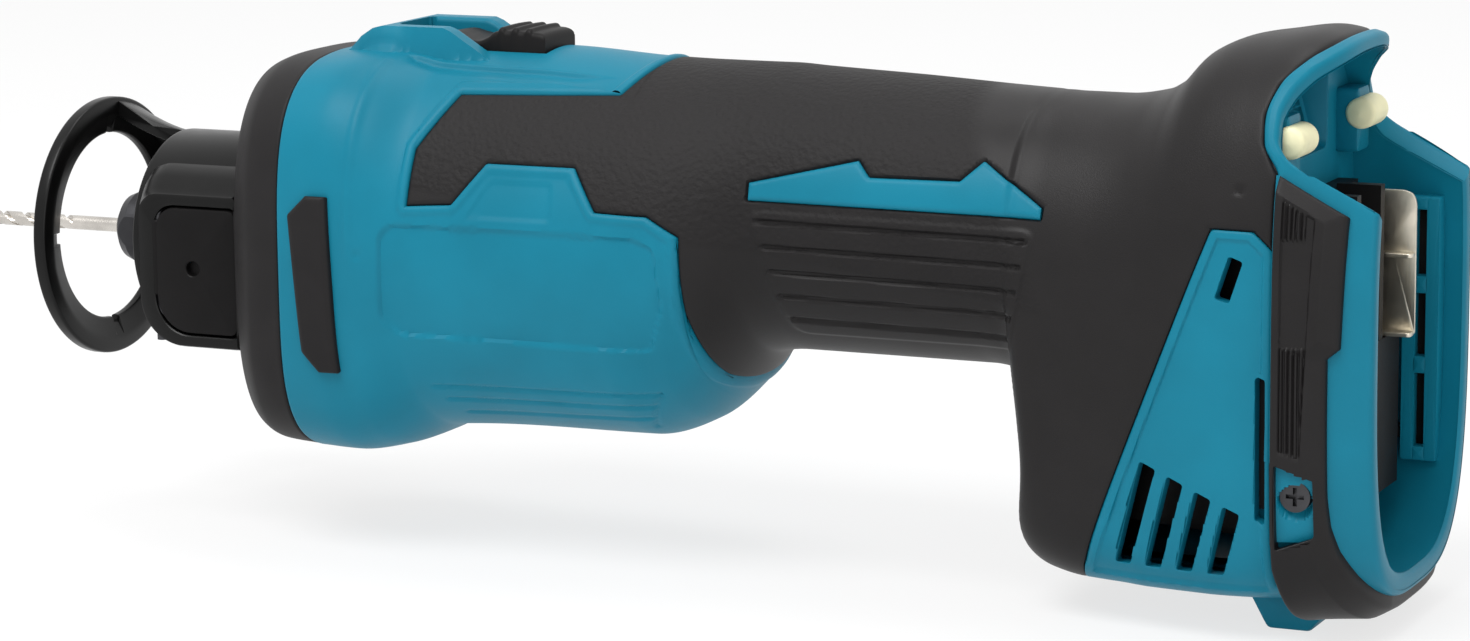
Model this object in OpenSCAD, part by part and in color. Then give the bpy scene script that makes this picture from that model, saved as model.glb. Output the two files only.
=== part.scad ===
// Cordless drywall cut-out tool, body without its battery.
// X runs along the spindle towards the battery end, Z is up and the spindle lies level.
// Lengths along the body are counted from the joint between the nose cover and the collar.

/* [Body] */
// Length of the dark cover at the nose end
cover_len = 18; // [15:0.5:24]
// Length of the collar behind the cover
collar_len = 24; // [20:1:30]
// Length of the motor barrel
motor_len = 66; // [60:1:76]
// Length of the slope from the motor barrel down to the handle
slope_len = 12; // [10:1:18]
// Length of the handle
handle_len = 56; // [48:1:70]
// Length of the rear block with the battery bay
rear_len = 78; // [74:1:86]
// Half width of the collar
collar_hw = 39; // [37:0.5:42]
// Depth of the collar below the spindle
collar_drop = 42.5; // [41:0.5:46]
// Room above the motor, for the switch
switch_room = 18.5; // [17:0.5:21]
// Room between the motor and the barrel's side
side_room = 9.8; // [8.6:0.2:12]
// Room between the motor and the barrel's underside
under_room = 8.6; // [8:0.2:11]
// Half width of the handle
handle_hw = 29; // [26:0.5:32]
// Height of the handle's top at its front end
handle_rise = 43; // [41:0.5:45]
// Depth of the handle's underside below the spindle
handle_drop = 16; // [13:0.5:19]
// Half width of the rear block
block_hw = 37; // [35:0.5:40]
// Depth of the rear block below the spindle
block_drop = 55; // [51:0.5:58]
// Height of the rear block's shoulder
block_rise = 54.8; // [53:0.2:58]
// Wall of the housing halves
wall = 3.2; // [2.6:0.2:4]

/* [Grip and trim] */
// Thickness of the soft grip
grip_t = 2; // [1.4:0.2:2.4]
// Gap left between pieces that are fitted into each other
seat_gap = 0.1; // [0.06:0.02:0.2]
// How far the front pads stand out of the collar
pad_out = 1.6; // [1:0.2:2.4]
// Number of grooves across the ribbed side of the handle
grip_grooves = 5; // [3:1:6]
// Width of a groove
groove_w = 1.2; // [0.8:0.1:1.8]
// How far the rear bumper stands out of the rear block
bumper_out = 3.2; // [2:0.2:4.5]
// Width of the rear bumper along the body
bumper_w = 12.5; // [10:0.5:14]

/* [Battery bay] */
// Depth of the battery bay from the rear edge
bay_depth = 24; // [20:0.5:28]
// Thickness of the wall that closes the bay
bay_wall = 3; // [2.4:0.2:4]
// Height on the spindle axis at which the rails start
rail_top = 24; // [20:1:28]
// How far a rail stands in from the side wall
rail_in = 4; // [3:0.5:5]
// Thickness of a rail
rail_t = 3; // [2.5:0.5:4]
// Diameter of a rubber buffer pin
buffer_d = 7; // [6:0.5:8]
// Spacing of the two buffer pins across the bay
buffer_pitch = 42; // [38:1:44]

/* [Vents] */
// Number of slanted vents in each side panel
vent_count = 4; // [3:1:4]
// Width of a vent
vent_w = 3.4; // [2.5:0.1:3.8]
// Spacing of the vents
vent_pitch = 6.6; // [6:0.2:7]

/* [Spindle] */
// Diameter of the spindle in its front bearing
spindle_d = 10; // [9:0.5:11]
// Diameter of the spindle in its rear bearing
spindle_tail_d = 8; // [7:0.5:9]
// Outside diameter of the front bearing
front_bearing_d = 26; // [25:0.5:28]
// Width of the front bearing
front_bearing_w = 8; // [7:0.5:9]
// Outside diameter of the rear bearing
rear_bearing_d = 22; // [21:0.5:24]
// Width of the rear bearing
rear_bearing_w = 7; // [6:0.5:8]
// Number of balls in a bearing
ball_count = 8; // [6:1:8]
// Diameter of a bearing ball
ball_d = 4; // [3.5:0.1:4.2]
// Diameter of the cutting bit
bit_d = 3.175; // [3:0.005:3.2]
// Length of the bit in front of the collet nut
bit_out = 40.9; // [36:0.1:46]
// Diameter of the collet nut
nut_d = 16; // [15:0.5:17]
// Length of the collet nut
nut_len = 17; // [15:0.5:19]
// Outside diameter of the stator
stator_d = 56; // [52:1:60]
// Length of the stator stack
stator_len = 30; // [24:1:32]
// Diameter of the rotor
rotor_d = 29.4; // [28:0.2:30]
// Diameter of the fan
fan_d = 60; // [54:1:64]
// Number of fan blades
fan_blades = 15; // [9:1:19]

/* [Depth guide] */
// Outside diameter of the guide ring
ring_d = 57.4; // [54:0.2:60]
// Inside diameter of the guide ring
ring_bore = 41.4; // [40:0.2:44]
// Thickness of the guide ring
ring_t = 2; // [1.8:0.2:3]
// Distance of the ring's front face in front of the collet nut
ring_ahead = 6.4; // [5:0.2:9]
// Diameter of the nose that the guide slides on
nose_d = 30; // [28:0.5:32]
// Radial clearance of the guide on the nose
nose_gap = 0.05; // [0.03:0.01:0.08]
// Outside radius of the guide's collar
guide_r = 22.5; // [21.5:0.5:24]
// Forward travel of the guide
guide_travel = 12; // [8:1:14]
// Length of the guide's collar that stays on the nose at full travel
guide_hold = 15.5; // [13:0.5:18]
// Thickness of the lock lever
lever_t = 4; // [3.6:0.2:5]
// Diameter of the lever's pin
lever_pin_d = 2.5; // [2:0.1:2.6]

/* [Switch] */
// Width of the switch knob
knob_w = 14; // [12:0.5:16]
// Length of the switch knob
knob_len = 28; // [26:1:30]
// Forward travel of the switch knob
knob_travel = 6; // [4:0.5:8]
// Height of the guard ridges beside the knob above the collar
guard_up = 2.4; // [1.6:0.2:3]

/* [Hidden] */
$fn = 64;

blue = [0.09, 0.45, 0.56];
charcoal = [0.17, 0.16, 0.16];
black = [0.05, 0.05, 0.05];
steel = [0.72, 0.72, 0.74];
nickel = [0.62, 0.58, 0.5];
copper = [0.72, 0.42, 0.2];
cream = [0.93, 0.9, 0.7];

// Places along the body, counted from the cover's joint
x_collar = collar_len;
x_motor = x_collar + motor_len;
x_handle = x_motor + slope_len;
x_block = x_handle + handle_len;
x_rear = x_block + rear_len;
x_bay = x_rear - bay_depth;
x_cover = -cover_len;
collar_rise = stator_d / 2 + switch_room;
motor_hw = stator_d / 2 + side_room;
motor_drop = stator_d / 2 + under_room;
// The guide's collar stands just in front of the cover
guide_gap = 0.6;
guide_len = guide_travel + guide_hold;
x_guide = x_cover - guide_gap;
guide_face = x_guide - guide_len;
nut_back = guide_face + 2;
nut_face = nut_back - nut_len;
ring_face = nut_face - ring_ahead;
x_tip = nut_face - bit_out;
foot_drop = block_drop + 6.5;
// The part's origin is under the middle of its box
shift = [-(x_tip + x_rear) / 2, 0, foot_drop];

function mix(a, b, t) = a + (b - a) * t;

// Body sections: place, top, bottom, half width, height of the widest line, and the
// exponents that round the upper and the lower half
body_sections = [
    [0, collar_rise - 3.3, -collar_drop + 0.3, collar_hw - 0.7, -2, 3.5, 3.7],
    [x_collar * 0.4, collar_rise - 2.5, -collar_drop, collar_hw, -2, 3.5, 3.6],
    [x_collar * 0.72, collar_rise - 2.3, mix(-collar_drop, -motor_drop, 0.2), collar_hw, -2, 3, 3.1],
    [x_collar + 4, collar_rise - 1.9, -motor_drop - 0.6, motor_hw + 0.2, 0, 2.1, 2.3],
    [x_collar + 24, collar_rise - 1.9, -motor_drop, motor_hw, 0, 2, 2.05],
    [x_motor - 16, collar_rise - 3.3, -motor_drop + 0.3, motor_hw, 0, 2, 2.05],
    [x_motor - 5, handle_rise, mix(-motor_drop, -handle_drop, 0.2), mix(motor_hw, handle_hw, 0.15),
     2, 2, 2],
    [x_motor + slope_len * 0.25, handle_rise, mix(-motor_drop, -handle_drop, 0.54),
     mix(motor_hw, handle_hw, 0.5), 6, 2, 2],
    [x_handle - 1, handle_rise, -handle_drop - 0.8, handle_hw + 0.8, 12, 2.05, 2.05],
    [x_handle + 6, handle_rise - 0.4, -handle_drop, handle_hw, 13, 2.1, 2.1],
    [x_handle + handle_len * 0.5, handle_rise - 1.4, -handle_drop, handle_hw, 13, 2.1, 2.1],
    [x_block - 9, handle_rise - 2.5, -handle_drop, handle_hw, 13, 2.1, 2.1],
    [x_block - 3, handle_rise - 2.8, -handle_drop - 0.8, handle_hw, 12.5, 2.1, 2.1],
    [x_block + 1, handle_rise - 3, -handle_drop - 3.5, handle_hw + 0.2, 12, 2.1, 2.1],
    [x_block + 2.4, handle_rise - 3.1, -block_drop + 12.5, handle_hw + 0.5, 8, 2.1, 2.1],
    [x_block + 3.6, handle_rise - 3.1, -block_drop + 5.5, handle_hw + 0.8, 7, 2.1, 2.5],
    [x_block + 6, handle_rise - 3.2, -block_drop + 2, handle_hw + 1.2, 5, 2.1, 4],
    [x_block + 10, handle_rise - 3.25, -block_drop + 0.5, mix(handle_hw, block_hw, 0.22), 3, 2.15, 5],
    [x_block + 16, handle_rise - 3.3, -block_drop, mix(handle_hw, block_hw, 0.34), 2, 2.2, 6],
    [x_block + 25, handle_rise - 2, -block_drop, mix(handle_hw, block_hw, 0.52), 0, 2.3, 6.5],
    [x_block + 31, handle_rise + 1, -block_drop, mix(handle_hw, block_hw, 0.66), 0, 2.4, 7],
    [x_block + 37, block_rise - 4.8, -block_drop, mix(handle_hw, block_hw, 0.78), 0, 2.5, 7],
    [x_block + 43, block_rise - 2.2, -block_drop, mix(handle_hw, block_hw, 0.88), 0, 2.6, 7],
    [x_block + 50, block_rise - 1, -block_drop, mix(handle_hw, block_hw, 0.96), 0, 2.7, 6.5],
    [x_block + 58, block_rise, -block_drop, block_hw, 0, 2.8, 5.5],
    [x_block + 66, block_rise - 1.6, -block_drop, block_hw - 0.5, 0, 2.8, 4],
    [x_rear, block_rise - 6, -block_drop, block_hw - 2.5, 0, 2.8, 3.2]
];

// Cover sections, from its front face to its joint
cover_sections = [
    [x_cover, collar_rise - 9.5, -collar_drop + 5.5, collar_hw - 14, -2, 2.8, 3],
    [x_cover + 1.5, collar_rise - 7.3, -collar_drop + 2.8, collar_hw - 11, -2, 2.9, 3.1],
    [x_cover + 5, collar_rise - 5.5, -collar_drop + 1, collar_hw - 6.4, -2, 3.1, 3.3],
    [x_cover + 10, collar_rise - 4.1, -collar_drop + 0.5, collar_hw - 2.4, -2, 3.3, 3.5],
    [0, collar_rise - 3.5, -collar_drop + 0.4, collar_hw - 0.8, -2, 3.5, 3.7]
];

ring_points = 28;
function signed_power(v, e) = sign(v) * pow(abs(v), e);
// One ring of a section, drawn out by off all round and by low more at the bottom
function section_ring(s, off, low) = [
    for (i = [0:ring_points - 1])
        let (a = 360 * i / ring_points, up = sin(a) >= 0, e = 2 / (up ? s[5] : s[6]))
        [s[0],
         (s[3] + off) * signed_power(cos(a), e),
         s[4] + (up ? s[1] + off - s[4] : s[4] - s[2] + off + low) * signed_power(sin(a), e)]
];

// A closed solid through the rings of the sections
module loft(sections, off = 0, low = 0) {
    rings = len(sections);
    n = ring_points;
    last = (rings - 1) * n;
    polyhedron(
        points = [for (s = sections) each section_ring(s, off, low)],
        faces = concat(
            [for (r = [0:rings - 2], i = [0:n - 1]) let (j = (i + 1) % n)
                [r * n + j, r * n + i, (r + 1) * n + i]],
            [for (r = [0:rings - 2], i = [0:n - 1]) let (j = (i + 1) % n)
                [(r + 1) * n + j, r * n + j, (r + 1) * n + i]],
            [[for (i = [0:n - 1]) i]],
            [[for (i = [n - 1:-1:0]) last + i]]),
        convexity = 6);
}

// Everything on one side of the middle plane, -1 for the left and 1 for the right
module side_half(side) {
    far = 300;
    translate([-far, side < 0 ? -far : 0, -far]) cube([2 * far, far, 2 * far]);
}

// A flat outline in the side view, carried through the whole width
module through(points, inset = 0) {
    rotate([90, 0, 0]) linear_extrude(height = 200, center = true) offset(delta = -inset) polygon(points);
}

// A round rod between two points
module rod(a, b, d, sides = 12) {
    hull() {
        translate(a) sphere(d = d, $fn = sides);
        translate(b) sphere(d = d, $fn = sides);
    }
}

// Outlines in the side view
grip_front = x_collar + 6;
trap_x = x_collar + 16.5;
label_end = x_motor + 1;
panel_top = 19;
panel_front = x_block + 18;
panel_rear = x_rear - 20;
panel_low = -block_drop + 3;
notch_x = x_rear - 23.5;
notch_z = rail_top + 14;
grip_outline = [
    [grip_front, 14.6], [trap_x - 0.2, 15.3], [trap_x + 6.5, 23.8], [trap_x + 26.5, 23.8],
    [trap_x + 32.5, 15.4], [label_end - 6.5, 15], [label_end, 11], [label_end + 0.7, -5],
    [label_end + 3, -20], [x_handle - 4, -29], [x_handle - 4, -block_drop - 30],
    [panel_front - 2, -block_drop - 30], [panel_front, panel_low + 1],
    [panel_rear - 12, panel_top + 0.6], [panel_rear - 3.5, panel_top + 0.6],
    [panel_rear + 0.6, panel_top - 3], [panel_rear + 0.6, notch_z - 7.6],
    [notch_x + 0.9, notch_z - 2], [notch_x + 0.3, notch_z + 3],
    [notch_x + 1.9, notch_z + 8.6], [notch_x + 5.5, notch_z + 12.6], [notch_x + 9.5, block_rise - 0.8],
    [notch_x + 9.5, block_rise + 30], [x_motor - 11, block_rise + 30], [x_motor - 11, handle_rise + 0.4],
    [x_motor - 16, 37.6], [grip_front + 6, 36.6], [grip_front, 26]
];
trim_outline = [
    [x_handle + 2.2, 22.2], [x_handle + 25.2, 27.5], [x_handle + 28, 24.4], [x_block - 8.7, 24.6],
    [x_block - 4.4, 28.6], [x_block + 9, 20.3], [x_block + 8.2, 18.2], [x_handle + 3.4, 18.6]
];
pad_outline = [[3.4, 11.4], [8, 15.6], [12.8, 15.6], [14.6, -21], [10, -21], [6, -16.8]];
mouth_outline = [
    [x_rear + 30, rail_top], [x_rear, rail_top],
    [notch_x + 11.1, notch_z - 7.8], [notch_x + 5.5, notch_z - 4.2],
    [notch_x + 3.7, notch_z - 1], [notch_x + 3.5, notch_z + 3], [notch_x + 4.7, notch_z + 6.8],
    [notch_x + 7.5, notch_z + 10.6], [notch_x + 12.5, block_rise - 2], [notch_x + 16, block_rise + 20],
    [x_rear + 30, block_rise + 20]
];
bumper_outline = [
    [panel_rear + 1.5, notch_z - 8.2], [panel_rear + 2.5 + bumper_w, rail_top - 1.4],
    [panel_rear + 1.5 + bumper_w, -2], [panel_rear - 0.9 + bumper_w, -4],
    [panel_rear - 0.9 + bumper_w, -block_drop + 20.5], [panel_rear + 1.7 + bumper_w, -block_drop + 12],
    [panel_rear + 6 + bumper_w, -block_drop + 2.5], [x_rear, -block_drop - 20],
    [panel_rear + 8, -block_drop - 20], [panel_rear + 6, -block_drop - 3],
    [panel_rear + 3.5, -block_drop + 3], [panel_rear + 1.5, -block_drop + 13]
];
patch_outline = [
    [panel_rear + 2.4, -22.5], [panel_rear + 9.5, -25.5], [panel_rear + 9.5, -36], [panel_rear + 2.4, -38]
];
screw_x = panel_rear + 6;
screw_z = -30.7;

// Switch channel on top of the body
knob_rear = x_collar + 24;
knob_front = knob_rear - knob_len;
channel_z = collar_rise - 4;
channel_hw = knob_w / 2 + 0.5;
link_hw = 3;
guard_t = 4.6;
guard_top = collar_rise + guard_up;

// Guard ridge beside the switch knob, with rounded shoulders
module guard_ridge(side) {
    y = side * (channel_hw + guard_t / 2);
    low = channel_z - 4;
    front = x_collar * 0.27;
    hull() {
        translate([0, y + guard_t / 2, 0]) rotate([90, 0, 0]) linear_extrude(height = guard_t) polygon([
            [front, guard_top - 5], [front + 3, guard_top - 1.2], [knob_front + 7, guard_top - 1.2],
            [knob_front + 18, channel_z + 0.8], [knob_front + 18, low], [front, low]]);
        translate([front + 4, y - guard_t / 2 + 1, guard_top - 1.2])
            cube([knob_front + 1.5 - front, guard_t - 2, 1.2]);
    }
}

module switch_channel() {
    translate([knob_front - knob_travel - 0.6, -channel_hw, channel_z])
        cube([knob_len + knob_travel + 1.2, 2 * channel_hw, 20]);
    translate([knob_rear - 20 - knob_travel, -link_hw - 0.5, channel_z - 10])
        cube([16 + knob_travel, 2 * link_hw + 1, 20]);
}

// Screws that hold the two halves together: place along the body, height, head side
screw_d = 3;
boss_d = 8;
half_screws = [
    [x_handle + 8, 33.4, 1], [x_block - 6.5, 31, 1],
    [x_block + 12, -44, 1], [x_block + 38, 40, 1], [x_motor - 5.2, -23, 1]
];
// Half width of the body at a place and height, from the section formula
function at(sections, x, k) = lookup(x, [for (s = sections) [s[0], s[k]]]);
function half_width(x, z) =
    let (up = z >= at(body_sections, x, 4), rise = abs(z - at(body_sections, x, 4)),
         full = up ? at(body_sections, x, 1) - at(body_sections, x, 4)
                   : at(body_sections, x, 4) - at(body_sections, x, 2),
         e = at(body_sections, x, up ? 5 : 6))
    at(body_sections, x, 3) * pow(max(0, 1 - pow(rise / full, e)), 1 / e);
function screw_reach(s) = half_width(s[0], s[1]);

// Short screws in the side walls of the bay, inside the patch that the bumper leaves free
patch_out = bumper_out - 0.8;
bay_screw_face = half_width(screw_x, screw_z) + patch_out;
bay_screw_len = 8;
head_d = 6;
head_t = 2.4;
module bay_screw_places() {
    for (side = [-1, 1])
        translate([screw_x, side * bay_screw_face, screw_z]) rotate([side * 90, 0, 0]) children();
}

module screw_bosses() {
    bay_screw_places() translate([0, 0, 4]) cylinder(d = boss_d, h = bay_screw_len + 1, $fn = 20);
    for (s = half_screws)
        translate([s[0], 0, s[1]]) rotate([90, 0, 0])
            cylinder(d = boss_d, h = 2 * screw_reach(s) - 2, center = true, $fn = 20);
}

module screw_holes() {
    bay_screw_places() {
        translate([0, 0, -10]) cylinder(d = head_d + 2 * seat_gap, h = 13.2, $fn = 16);
        translate([0, 0, 1]) cylinder(d = screw_d + 2 * seat_gap, h = bay_screw_len, $fn = 16);
    }
    for (s = half_screws)
        translate([s[0], 0, s[1]]) rotate([90, 0, 0]) {
            cylinder(d = screw_d + 2 * seat_gap, h = 2 * screw_reach(s) - 10, center = true, $fn = 16);
            scale([1, 1, -s[2]]) translate([0, 0, screw_reach(s) - 6])
                cylinder(d = head_d + 2 * seat_gap, h = 20, $fn = 16);
        }
}

vent_low = panel_low + 2.4;
module vents() {
    for (i = [0:vent_count - 1])
        let (x = panel_front + 9 + i * vent_pitch, top = -29.5 - 2.4 * i)
        hull() {
            translate([x, 0, vent_low + vent_w / 2]) rotate([90, 0, 0])
                cylinder(d = vent_w, h = 200, center = true, $fn = 12);
            translate([x + (top - vent_low) * 0.31, 0, top]) rotate([90, 0, 0])
                cylinder(d = vent_w, h = 200, center = true, $fn = 12);
        }
    hull() for (p = [[panel_rear - 9.4, 7.2], [panel_rear - 7, 13.2]])
        translate([p[0], 0, p[1]]) rotate([90, 0, 0]) cylinder(d = 3, h = 200, center = true, $fn = 12);
    hull() for (z = [-9.5, -36])
        translate([panel_rear - 1.4, 0, z]) rotate([90, 0, 0])
            cylinder(d = 2, h = 200, center = true, $fn = 12);
}

foot_hw = 20;
foot_end = 6;
module foot() {
    hull() {
        rotate([90, 0, 0]) linear_extrude(height = 2 * foot_hw, center = true) polygon([
            [panel_rear - 9.5, -block_drop + 1], [panel_rear - 5.6, -foot_drop + 1.2],
            [panel_rear + foot_end, -foot_drop + 2.6], [panel_rear + foot_end, -block_drop + 1]]);
        translate([panel_rear - 5, 1 - foot_hw, -foot_drop]) cube([9, 2 * foot_hw - 2, 1.2]);
    }
}

// Rails that carry the battery inside the bay
rail_x = x_rear - 9;
module bay_rails() {
    intersection() {
        for (side = [-1, 1])
            translate([rail_x, side < 0 ? -block_hw : block_hw - wall - 3 - rail_in, -block_drop + 16])
                cube([rail_t, wall + 3 + rail_in, block_drop - 16 + rail_top - 6]);
        loft(body_sections, -0.5);
    }
}

buffer_x = x_bay + buffer_d / 2 + 1.5;
buffer_z = notch_z - 3.6;
buffer_len = 12;
module buffer_cradles() {
    intersection() {
        for (side = [-1, 1])
            translate([x_bay - 0.5, side * buffer_pitch / 2 - (buffer_len - 4) / 2, buffer_z - buffer_d])
                cube([buffer_d / 2 + 1.5, buffer_len - 4, 2 * buffer_d]);
        loft(body_sections, -0.5);
    }
}
module buffer_pins(grow) {
    for (side = [-1, 1])
        translate([buffer_x, side * buffer_pitch / 2, buffer_z]) rotate([90, 0, 0])
            cylinder(d = buffer_d + 2 * grow, h = buffer_len, center = true, $fn = 24);
}

// One half of the moulded housing
module housing_half(side) {
    intersection() {
        difference() {
            union() {
                difference() {
                    loft(body_sections);
                    difference() {
                        through(grip_outline);
                        through(trim_outline);
                    }
                }
                loft(body_sections, -grip_t);
                guard_ridge(side);
                foot();
                intersection() {
                    loft(body_sections, patch_out);
                    through(patch_outline);
                }
            }
            difference() {
                loft([for (s = body_sections) [s[0] <= 0 ? -1 : s[0] >= x_rear ? x_rear + 1 : s[0],
                      s[1], s[2], s[3], s[4], s[5], s[6]]], -wall - grip_t / 2);
                translate([x_bay - bay_wall, -100, -100]) cube([bay_wall, 200, 200]);
                screw_bosses();
                bay_rails();
                buffer_cradles();
                seat_webs();
            }
            through(mouth_outline);
            switch_channel();
            screw_holes();
            vents();
            buffer_pins(seat_gap);
            difference() {
                through(pad_outline);
                loft(body_sections, -1);
            }
            terminal_window();
        }
        side_half(side);
    }
}
module housing_left() { color(blue) translate(shift) housing_half(-1); }
module housing_right() { color(blue) translate(shift) housing_half(1); }

// Grooves across the ribbed side of the handle
groove_top = 14.5;
groove_low = -6;
module grip_groove_rows(side) {
    for (i = [0:grip_grooves - 1])
        let (z = mix(groove_top, groove_low, i / (grip_grooves - 1)), a = x_handle + 5, b = x_block + 3)
        for (part = [[a, mix(a, b, 0.5)], [mix(a, b, 0.5), b]])
            rod([part[0], side * half_width(part[0], z), z],
                [part[1], side * half_width(part[1], z), z], groove_w, 8);
}

// One half of the soft grip, flush with the housing around it
module grip_half(side) {
    intersection() {
        difference() {
            loft(body_sections);
            loft(body_sections, -grip_t + seat_gap);
            through(trim_outline, -seat_gap);
            grip_groove_rows(side);
            screw_holes();
            through(mouth_outline);
        }
        through(grip_outline, seat_gap);
        side_half(side);
    }
}
module grip_left() { color(charcoal) translate(shift) grip_half(-1); }
module grip_right() { color(charcoal) translate(shift) grip_half(1); }

// Pads let into the collar on both sides
module front_pads() {
    color(charcoal) translate(shift) intersection() {
        difference() {
            loft(body_sections, pad_out);
            loft(body_sections, -1 + seat_gap);
        }
        through(pad_outline, seat_gap);
        difference() {
            translate([-50, -100, -100]) cube(200);
            translate([-50, -20, -100]) cube([200, 40, 200]);
        }
    }
}

// One half of the bumper round the battery bay
bumper_low = 1.2;
module bumper_half(side) {
    intersection() {
        difference() {
            loft(body_sections, bumper_out, bumper_low);
            loft(body_sections, seat_gap);
            through(patch_outline, -seat_gap);
            for (i = [0:4], span = [[14, 23], [-20, -2]])
                let (x = panel_rear + 3.6 + i * 1.7)
                rod([x, side * (half_width(x, 0) + bumper_out), span[0]],
                    [x, side * (half_width(x, 0) + bumper_out), span[1]], 0.9, 6);
            translate([panel_rear - 20, -foot_hw - 0.3, -foot_drop - 20])
                cube([20.3 + foot_end, 2 * foot_hw + 0.6, 40]);
        }
        through(bumper_outline);
        side_half(side);
    }
}
module bumper_left() { color(charcoal) translate(shift) bumper_half(-1); }
module bumper_right() { color(charcoal) translate(shift) bumper_half(1); }

// Dark cover at the nose, a shell with a round opening for the nose sleeve
cover_screw_r = nose_d / 4 + 11.5;
cover_screw_d = 3.2;
module cover_screw_places() {
    for (i = [0:3])
        rotate([45 + 90 * i, 0, 0]) translate([x_cover, 0, cover_screw_r]) rotate([0, 90, 0]) children();
}
module front_cover() {
    color(charcoal) translate(shift) difference() {
        loft(cover_sections);
        loft([for (i = [1:len(cover_sections) - 1]) let (s = cover_sections[i])
              [i == 1 ? x_cover + wall : s[0] >= 0 ? 1 : s[0] + 0.2, s[1], s[2], s[3], s[4], s[5], s[6]]],
             -wall);
        translate([x_cover - 1, 0, 0]) rotate([0, 90, 0]) cylinder(d = nose_d + 2 * seat_gap, h = 10);
        cover_screw_places() translate([0, 0, -1])
            cylinder(d = cover_screw_d + 2 * seat_gap, h = 12, $fn = 16);
        lock_window();
    }
}

// Turns a profile given as [radius, place] about the spindle axis
module turned(profile, angle = 360, start = 0) {
    rotate([0, 90, 0]) rotate([0, 0, start]) rotate_extrude(angle = angle) polygon(profile);
}
// A plain ring about the spindle axis
module tube(r_out, r_in, x, length) {
    turned([[r_in, x], [r_out, x], [r_out, x + length], [r_in, x + length]]);
}

// Bearings: seats, races and balls from the same values
race_gap = 0.03;
bearing_front = x_cover + 2;
bearing_rear = x_motor - 14;
front_ball_r = (spindle_d + front_bearing_d) / 4;
rear_ball_r = (spindle_tail_d + rear_bearing_d) / 4;
seat_r = rear_bearing_d / 2 + 3;
stator_x = x_collar + 9;
rib_t = 3;

// Webs in the housing that hold the rear bearing and the stator
module seat_webs() {
    difference() {
        translate([bearing_rear + 1, -100, -100]) cube([rear_bearing_w - 2, 200, 200]);
        translate([bearing_rear, 0, 0]) rotate([0, 90, 0])
            cylinder(r = seat_r + seat_gap, h = 20, $fn = 28);
        translate([bearing_rear - 1, -12, 17]) cube([20, 24, 60]);
    }
    for (x = [stator_x + 2, stator_x + stator_len - 2 - rib_t])
        difference() {
            translate([x, -100, -100]) cube([rib_t, 200, 200]);
            translate([x - 1, 0, 0]) rotate([0, 90, 0])
                cylinder(d = stator_d + 4 * seat_gap, h = 20, $fn = 48);
            translate([x - 1, -12, 20]) cube([20, 24, 60]);
        }
}

terminal_hw = 21;
terminal_top = -8;
terminal_low = -46;
module terminal_window() {
    translate([x_bay - bay_wall - 1, -terminal_hw + 4, terminal_low + 6])
        cube([bay_wall + 2, 2 * terminal_hw - 8, 30]);
    translate([x_bay - 2, -9, notch_z - 9]) cube([4, 18, 17]);
}

// Nose sleeve: seat of the front bearing and the round nose that the guide slides on
sleeve_front = guide_face + 1.5;
sleeve_bore = nut_d / 2 + 1;
lock_x = -5;
lock_pin_d = 3;
module nose_sleeve() {
    color(steel) translate(shift) difference() {
        turned([[sleeve_bore, sleeve_front], [nose_d / 2 - 1, sleeve_front], [nose_d / 2, sleeve_front + 1],
                [nose_d / 2, x_cover + wall + seat_gap], [nose_d / 2 + 8, x_cover + wall + seat_gap],
                [nose_d / 2 + 8, x_cover + wall + 3], [nose_d / 2, x_cover + wall + 3], [nose_d / 2, 0.5],
                [front_bearing_d / 2, 0.5], [front_bearing_d / 2, bearing_front],
                [sleeve_bore, bearing_front]]);
        translate([lock_x, 0, 0]) rotate([-90, 0, 0]) cylinder(d = lock_pin_d + 0.1, h = 30);
        cover_screw_places() translate([0, 0, -1]) cylinder(d = cover_screw_d + 2 * seat_gap, h = 12);
    }
}

module bearing_outer(x, d, w, ball_r) { tube(d / 2, ball_r + ball_d / 2 + race_gap, x, w); }
module bearing_inner(x, d, w, ball_r) { tube(ball_r - ball_d / 2 - race_gap, d / 2, x, w); }
module bearing_balls(x, w, ball_r) {
    for (i = [0:ball_count - 1])
        rotate([360 * i / ball_count, 0, 0]) translate([x + w / 2, 0, ball_r]) sphere(d = ball_d, $fn = 24);
}
module front_bearing_outer() {
    color(steel) translate(shift)
        bearing_outer(bearing_front, front_bearing_d - 2 * race_gap, front_bearing_w, front_ball_r);
}
module front_bearing_inner() {
    color(steel) translate(shift)
        bearing_inner(bearing_front, spindle_d + 2 * race_gap, front_bearing_w, front_ball_r);
}
module front_balls() {
    color(steel) translate(shift) bearing_balls(bearing_front, front_bearing_w, front_ball_r);
}
module rear_bearing_outer() {
    color(steel) translate(shift) bearing_outer(bearing_rear, rear_bearing_d, rear_bearing_w, rear_ball_r);
}
module rear_bearing_inner() {
    color(steel) translate(shift)
        bearing_inner(bearing_rear, spindle_tail_d + 2 * race_gap, rear_bearing_w, rear_ball_r);
}
module rear_balls() {
    color(steel) translate(shift) bearing_balls(bearing_rear, rear_bearing_w, rear_ball_r);
}
// Rubber ring between the rear bearing and its web
module rear_bearing_seat() {
    color(black) translate(shift) tube(seat_r, rear_bearing_d / 2 + race_gap, bearing_rear, rear_bearing_w);
}

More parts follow.
